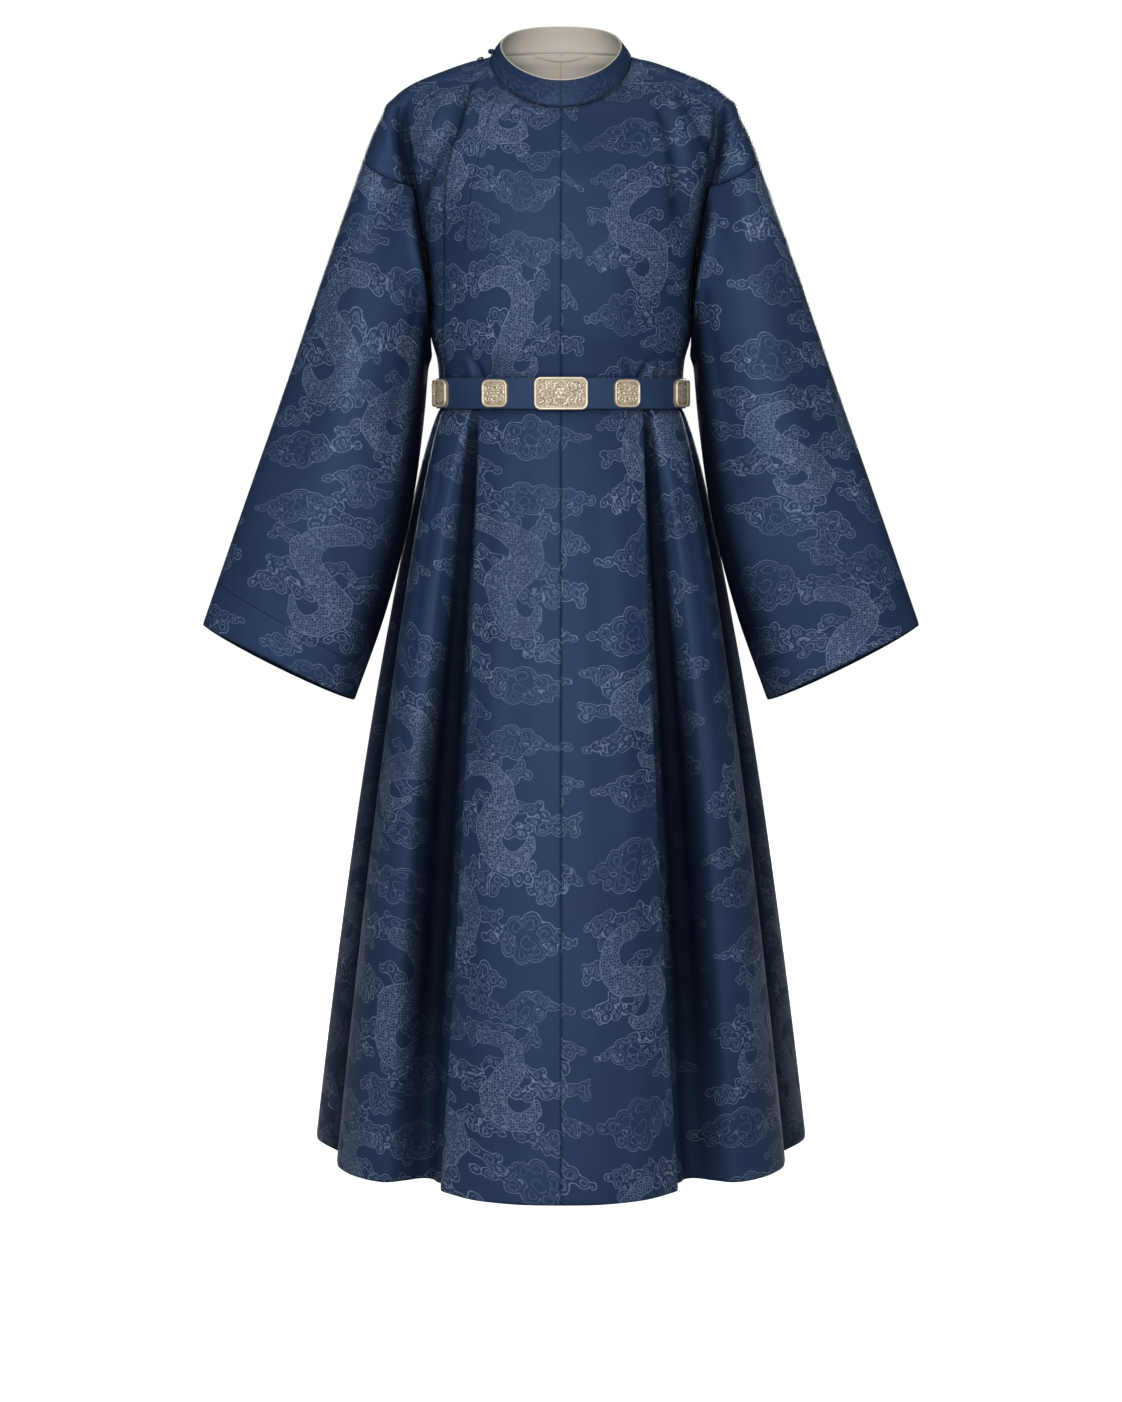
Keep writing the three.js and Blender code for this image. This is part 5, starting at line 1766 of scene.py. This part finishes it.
@dataclass
class Belt:
    """The stiff belt and its carved plaques."""

    outfitter: Outfitter
    strap: bpy.types.Material
    gilt: bpy.types.Material
    clearance: float = 1
    wall: float = 2.6
    edge: float = 3.6
    top: float = 5
    rim: float = 3.2
    corner: float = 8
    carving: float = 0.9
    bead_inset: float = 1.7
    bead_half: float = 1.5
    field_step: float = 0.6
    squareness: float = 0.22
    plaques: Sequence[PlaqueForm] = (
        PlaqueForm("belt_plaque_front", 0, 60, 37.5),
        PlaqueForm("belt_plaque_left_1", 31, 31, 32),
        PlaqueForm("belt_plaque_left_2", 71, 31, 32),
        PlaqueForm("belt_plaque_left_3", 98, 31, 32),
        PlaqueForm("belt_plaque_right_1", -31, 31, 32),
        PlaqueForm("belt_plaque_right_2", -71, 31, 32),
        PlaqueForm("belt_plaque_right_3", -98, 31, 32),
    )

    def build(self) -> None:
        """Makes the strap and the plaques."""
        middle = (S.belt_top_z + S.belt_bottom_z) / 2
        half = (S.belt_top_z - S.belt_bottom_z) / 2
        turn = np.linspace(0, 2 * math.pi, 33)[:-1]
        up = half * np.sign(np.sin(turn)) * np.abs(np.sin(turn)) ** self.squareness
        swell = np.sign(np.cos(turn)) * np.abs(np.cos(turn)) ** self.squareness
        out = self.clearance + self.wall / 2 + self.wall / 2 * swell
        angles = np.linspace(0, 2 * math.pi, 241)[:-1]
        grid_angle = angles[:, None] + 0 * turn[None, :]
        points = Form.waist(grid_angle, middle + up[None, :] + 0 * grid_angle, out[None, :] + 0 * grid_angle)
        faces = strip_faces(len(angles), len(turn), True)
        obj = Outfitter.mesh("belt_strap_band", points.reshape(-1, 3), faces)
        self.outfitter.enter(obj, ["belt_strap"], "belt", [self.strap])
        for form in self.plaques:
            self.plaque(form)

    @staticmethod
    def scrolls(u: Array, v: Array, width: float, height: float) -> Array:
        """Carved relief from 0 to 1: a rosette in the middle and scrolling leaves about it.

        Args:
            u: places across in millimetres.
            v: places up in millimetres.
            width: the field's width.
            height: the field's height.

        Returns:
            The relief's height at each place.
        """
        tall = np.zeros_like(u)

        def ridge(x: Array, y: Array, radius: float) -> None:
            nonlocal tall
            for px, py in zip(x, y):
                d2 = ((u - px) ** 2 + (v - py) ** 2) / radius**2
                tall = np.maximum(tall, np.sqrt(np.maximum(0.0, 1 - d2)))

        size = min(width, height) * 0.17
        around = np.linspace(0, 2 * math.pi, 7)[:-1]
        ridge(size * 0.95 * np.cos(around), size * 0.95 * np.sin(around), size * 0.5)
        ridge(np.zeros(1), np.zeros(1), size * 0.52)
        t = np.linspace(0, 1, 34)
        for sx in (-1, 1):
            for sy in (-1, 1):
                for reach in (0.24, 0.4) if width > 40 else (0.31,):
                    cx, cy = sx * width * reach, sy * height * 0.25
                    size = height * 0.19
                    angle = t * 2 * math.pi * 1.35
                    spiral = size * (1 - t * 0.86)
                    ridge(cx + sx * spiral * np.cos(angle + 2.4), cy + sy * spiral * np.sin(angle + 2.4), 1.15)
                    leaf = np.linspace(0, 1, 9)
                    ridge(
                        cx - sx * size * (1.0 + 0.55 * leaf),
                        cy + sy * size * (0.95 * np.sin(leaf * 2.2) - 0.3),
                        1.0,
                    )
        for sx in (-1, 1):
            leaf = np.linspace(0, 1, 12)
            ridge(sx * width * (0.46 - 0.12 * leaf), height * 0.07 * np.sin(leaf * math.pi * 2), 1.2)
        for sy in (-1, 1):
            leaf = np.linspace(-1, 1, 15)
            ridge(width * 0.13 * leaf, sy * height * (0.43 - 0.09 * leaf**2), 1.1)
        return tall

    def plaque(self, form: PlaqueForm) -> None:
        """One plaque: rounded plate, smooth raised rim and carved field, closed behind."""
        half_w, half_h = form.width / 2, form.height / 2
        rim_line = np.array([0, 0.12, 0.35, 0.8, 1.3, 1.9, 2.5, 2.9, 3.2, 3.5])
        across = self.lines(half_w, rim_line)
        upward = self.lines(half_h, rim_line)
        x, z = np.meshgrid(across, upward)
        inset = np.minimum(half_w - np.abs(x), half_h - np.abs(z))
        flat_x, flat_z = self.rounded(x, z, inset, half_w, half_h)
        base = S.seam_gap + self.clearance + self.wall
        bow = np.sqrt(np.clip(1 - ((inset - self.bead_inset) / self.bead_half) ** 2, 0, 1))
        bead = self.edge + (self.top - self.edge) * bow
        relief = self.scrolls(flat_x, flat_z, form.width - 2 * self.rim, form.height - 2 * self.rim)
        inner = ease((inset - self.rim) / 0.8)
        rise = np.where(inset < self.rim, bead, self.edge + self.carving * relief * inner)
        rise = np.maximum(np.minimum(rise, self.edge * np.sqrt(np.clip(inset / 0.8, 0, 1)) + 2 * inset), 0.0)
        # The plate's tone is painted shade and light: the raised carving and the rim lighter, the low field darker,
        # the outer edge and the foot dark.
        tone = np.where(inset >= self.rim - 0.2, 0.5 + 0.5 * relief * inner, 0.95)
        tone = np.where(inset < 0.5, 0.1, tone)
        centre = math.radians(form.degrees)
        per_radian = math.hypot(S.waist_half * math.cos(centre), S.waist_front * math.sin(centre))
        middle = (S.belt_top_z + S.belt_bottom_z) / 2
        angle = centre + flat_x / per_radian
        front = Form.waist(angle, middle + flat_z, base + rise)
        rows, columns = x.shape
        index = np.arange(rows * columns).reshape(rows, columns)
        quads = np.stack([index[:-1, :-1], index[:-1, 1:], index[1:, 1:], index[1:, :-1]], -1).reshape(-1, 4)
        loop = np.concatenate([index[0, :-1], index[:-1, -1], index[-1, :0:-1], index[:0:-1, 0]])
        foot = Form.waist(angle, middle + flat_z, base + 0 * rise).reshape(-1, 3)[loop]
        points = np.concatenate([front.reshape(-1, 3), foot])
        under = np.arange(len(loop)) + rows * columns
        wall = np.stack([loop, under, np.roll(under, -1), np.roll(loop, -1)], -1)
        faces = [*quads.tolist(), *wall.tolist(), under.tolist()]
        obj = Outfitter.mesh(f"{form.node}_plate", points, faces)
        layer = obj.data.uv_layers.new(name="relief")
        shade = np.concatenate([tone.reshape(-1), np.full(len(loop), 0.35)])
        carved = np.concatenate([inner.reshape(-1), np.zeros(len(loop))])
        index = np.array([v for f in faces for v in f])
        layer.data.foreach_set("uv", np.stack([shade, carved], -1)[index].reshape(-1))
        self.outfitter.enter(obj, [form.node], "plaque", [self.gilt])

    def rounded(self, x: Array, z: Array, inset: Array, half_w: float, half_h: float) -> tuple[Array, Array]:
        """Bends a rectangle's grid into a plate with round corners.

        Args:
            x: places across.
            z: places up.
            inset: their distance from the rectangle's edge.
            half_w: half the plate's width.
            half_h: half the plate's height.

        Returns:
            Places across and up on the plate.
        """
        radius = np.maximum(self.corner - inset, 0.05)
        wide, tall = half_w - inset, half_h - inset
        on_top = half_h - np.abs(z) <= half_w - np.abs(x)
        past = np.where(on_top, np.abs(x) - (wide - radius), np.abs(z) - (tall - radius))
        angle = np.clip(past / radius, 0, 1) * math.pi / 4
        near, far = radius * np.sin(angle), radius * np.cos(angle)
        turned = past > 0
        new_x = np.where(turned, wide - radius + np.where(on_top, near, far), np.abs(x))
        new_z = np.where(turned, tall - radius + np.where(on_top, far, near), np.abs(z))
        return np.sign(x) * new_x, np.sign(z) * new_z

    def lines(self, half: float, rim: Array) -> Array:
        """Grid lines across a plaque: close over the rim, even over the field."""
        inner = half - rim[-1]
        even = np.linspace(-inner, inner, max(9, int(inner * 2 / self.field_step)))
        return np.concatenate([-(half - rim), even[1:-1], (half - rim)[::-1]])


@dataclass
class Studio:
    """Camera, soft lights and a plain pale floor."""

    floor_z: float = -1.47
    floor_half: float = 30.0
    lens_pixels: float = 2820
    image_height: float = 1402
    pitch: float = 6.2
    distance: float = 3.3
    height: float = -0.386
    sensor: float = 36
    ambient: float = 0.09
    lamps: Sequence[tuple[str, tuple[float, float, float], tuple[float, float, float], float, float]] = (
        ("key", (-0.9, -3.4, 0.5), (0, 0, -0.6), 1.3, 78),
        ("front_fill", (0.9, -3.6, 0.1), (0, 0, -0.7), 1.3, 52),
        ("top", (0.0, -0.5, 1.9), (0, 0, -0.2), 1.0, 9),
        ("back_key", (0.9, 3.4, 0.5), (0, 0, -0.6), 1.3, 74),
        ("back_fill", (-0.9, 3.6, 0.1), (0, 0, -0.7), 1.3, 50),
    )

    def camera(self) -> None:
        """The camera at the photograph's place and angle."""
        data = bpy.data.cameras.new("camera")
        data.sensor_width = self.sensor
        data.lens = self.lens_pixels * self.sensor / self.image_height
        camera = bpy.data.objects.new("camera", data)
        camera.location = (0, -self.distance, self.height)
        camera.rotation_euler = (math.radians(90 - self.pitch), 0, 0)
        bpy.context.scene.collection.objects.link(camera)
        bpy.context.scene.camera = camera

    def lamp(self, name: str, place: Sequence[float], aim: Sequence[float], size: float, watts: float) -> None:
        """A square soft light.

        Args:
            name: its name.
            place: where it stands, in metres.
            aim: the place that it faces.
            size: the length of its side in metres.
            watts: its power.
        """
        data = bpy.data.lights.new(name, "AREA")
        data.size = size
        data.energy = watts
        lamp = bpy.data.objects.new(name, data)
        lamp.location = place
        lamp.rotation_euler = (Vector(aim) - Vector(place)).to_track_quat("-Z", "Y").to_euler()
        bpy.context.scene.collection.objects.link(lamp)

    def build(self) -> None:
        """Sets up everything round the robe."""
        self.camera()
        for lamp in self.lamps:
            self.lamp(*lamp)
        world = bpy.data.worlds.new("studio")
        bpy.context.scene.world = world
        world.use_nodes = True
        tree = world.node_tree
        tree.nodes["Background"].inputs["Color"].default_value = (1, 1, 1, 1)
        seen = tree.nodes.new("ShaderNodeLightPath")
        level = tree.nodes.new("ShaderNodeMapRange")
        level.inputs["To Min"].default_value = self.ambient
        level.inputs["To Max"].default_value = 1.0
        tree.links.new(seen.outputs["Is Camera Ray"], level.inputs["Value"])
        tree.links.new(level.outputs["Result"], tree.nodes["Background"].inputs["Strength"])
        bpy.context.scene.view_settings.view_transform = "Standard"
        self.floor()

    def floor(self) -> None:
        """A wide pale floor."""
        data = bpy.data.meshes.new("floor")
        corners = ((-1, -1), (1, -1), (1, 1), (-1, 1))
        places = [(x * self.floor_half, y * self.floor_half, self.floor_z) for x, y in corners]
        data.from_pydata(places, [], [(0, 1, 2, 3)])
        floor = bpy.data.objects.new("floor", data)
        bpy.context.scene.collection.objects.link(floor)
        paint = Paint("floor_white")
        grain = paint.noise(paint.object_place(), 3.0)
        paint.feed(paint.shader.inputs["Roughness"], grain * 0.1 + 0.85)
        paint.constant(Base_Color=rgba(0.5, 0.5, 0.5), Emission_Strength=1.02)
        seen = paint.node("ShaderNodeLightPath", {})
        glow = paint.tint(rgba(0, 0, 0), rgba(1, 1, 1), seen.outputs["Is Camera Ray"])
        paint.feed(paint.shader.inputs["Emission Color"], glow)
        floor.data.materials.append(paint.material)


def main() -> None:
    """Builds the robe piece by piece."""
    logging.basicConfig(level=logging.INFO, format="%(message)s")
    Studio().build()
    outfitter = Outfitter()
    satin = Satin().make("satin_damask")
    lining = Lining().make("lining_silk")
    body = RobeBody(Tailor(outfitter, Creases()), satin, lining)
    body.fronts()
    body.backs()
    Sleeves(body).build()
    quiet = Satin(ground=(0.0155, 0.03, 0.07), thread=(0.055, 0.085, 0.15)).make("satin_collar")
    Collar(outfitter, quiet, lining).build()
    Belt(outfitter, Strap().make("belt_cloth"), Gilt().make("gilt")).build()
    log.info("%d pieces", len(outfitter.made))


if __name__ == "__main__":
    main()
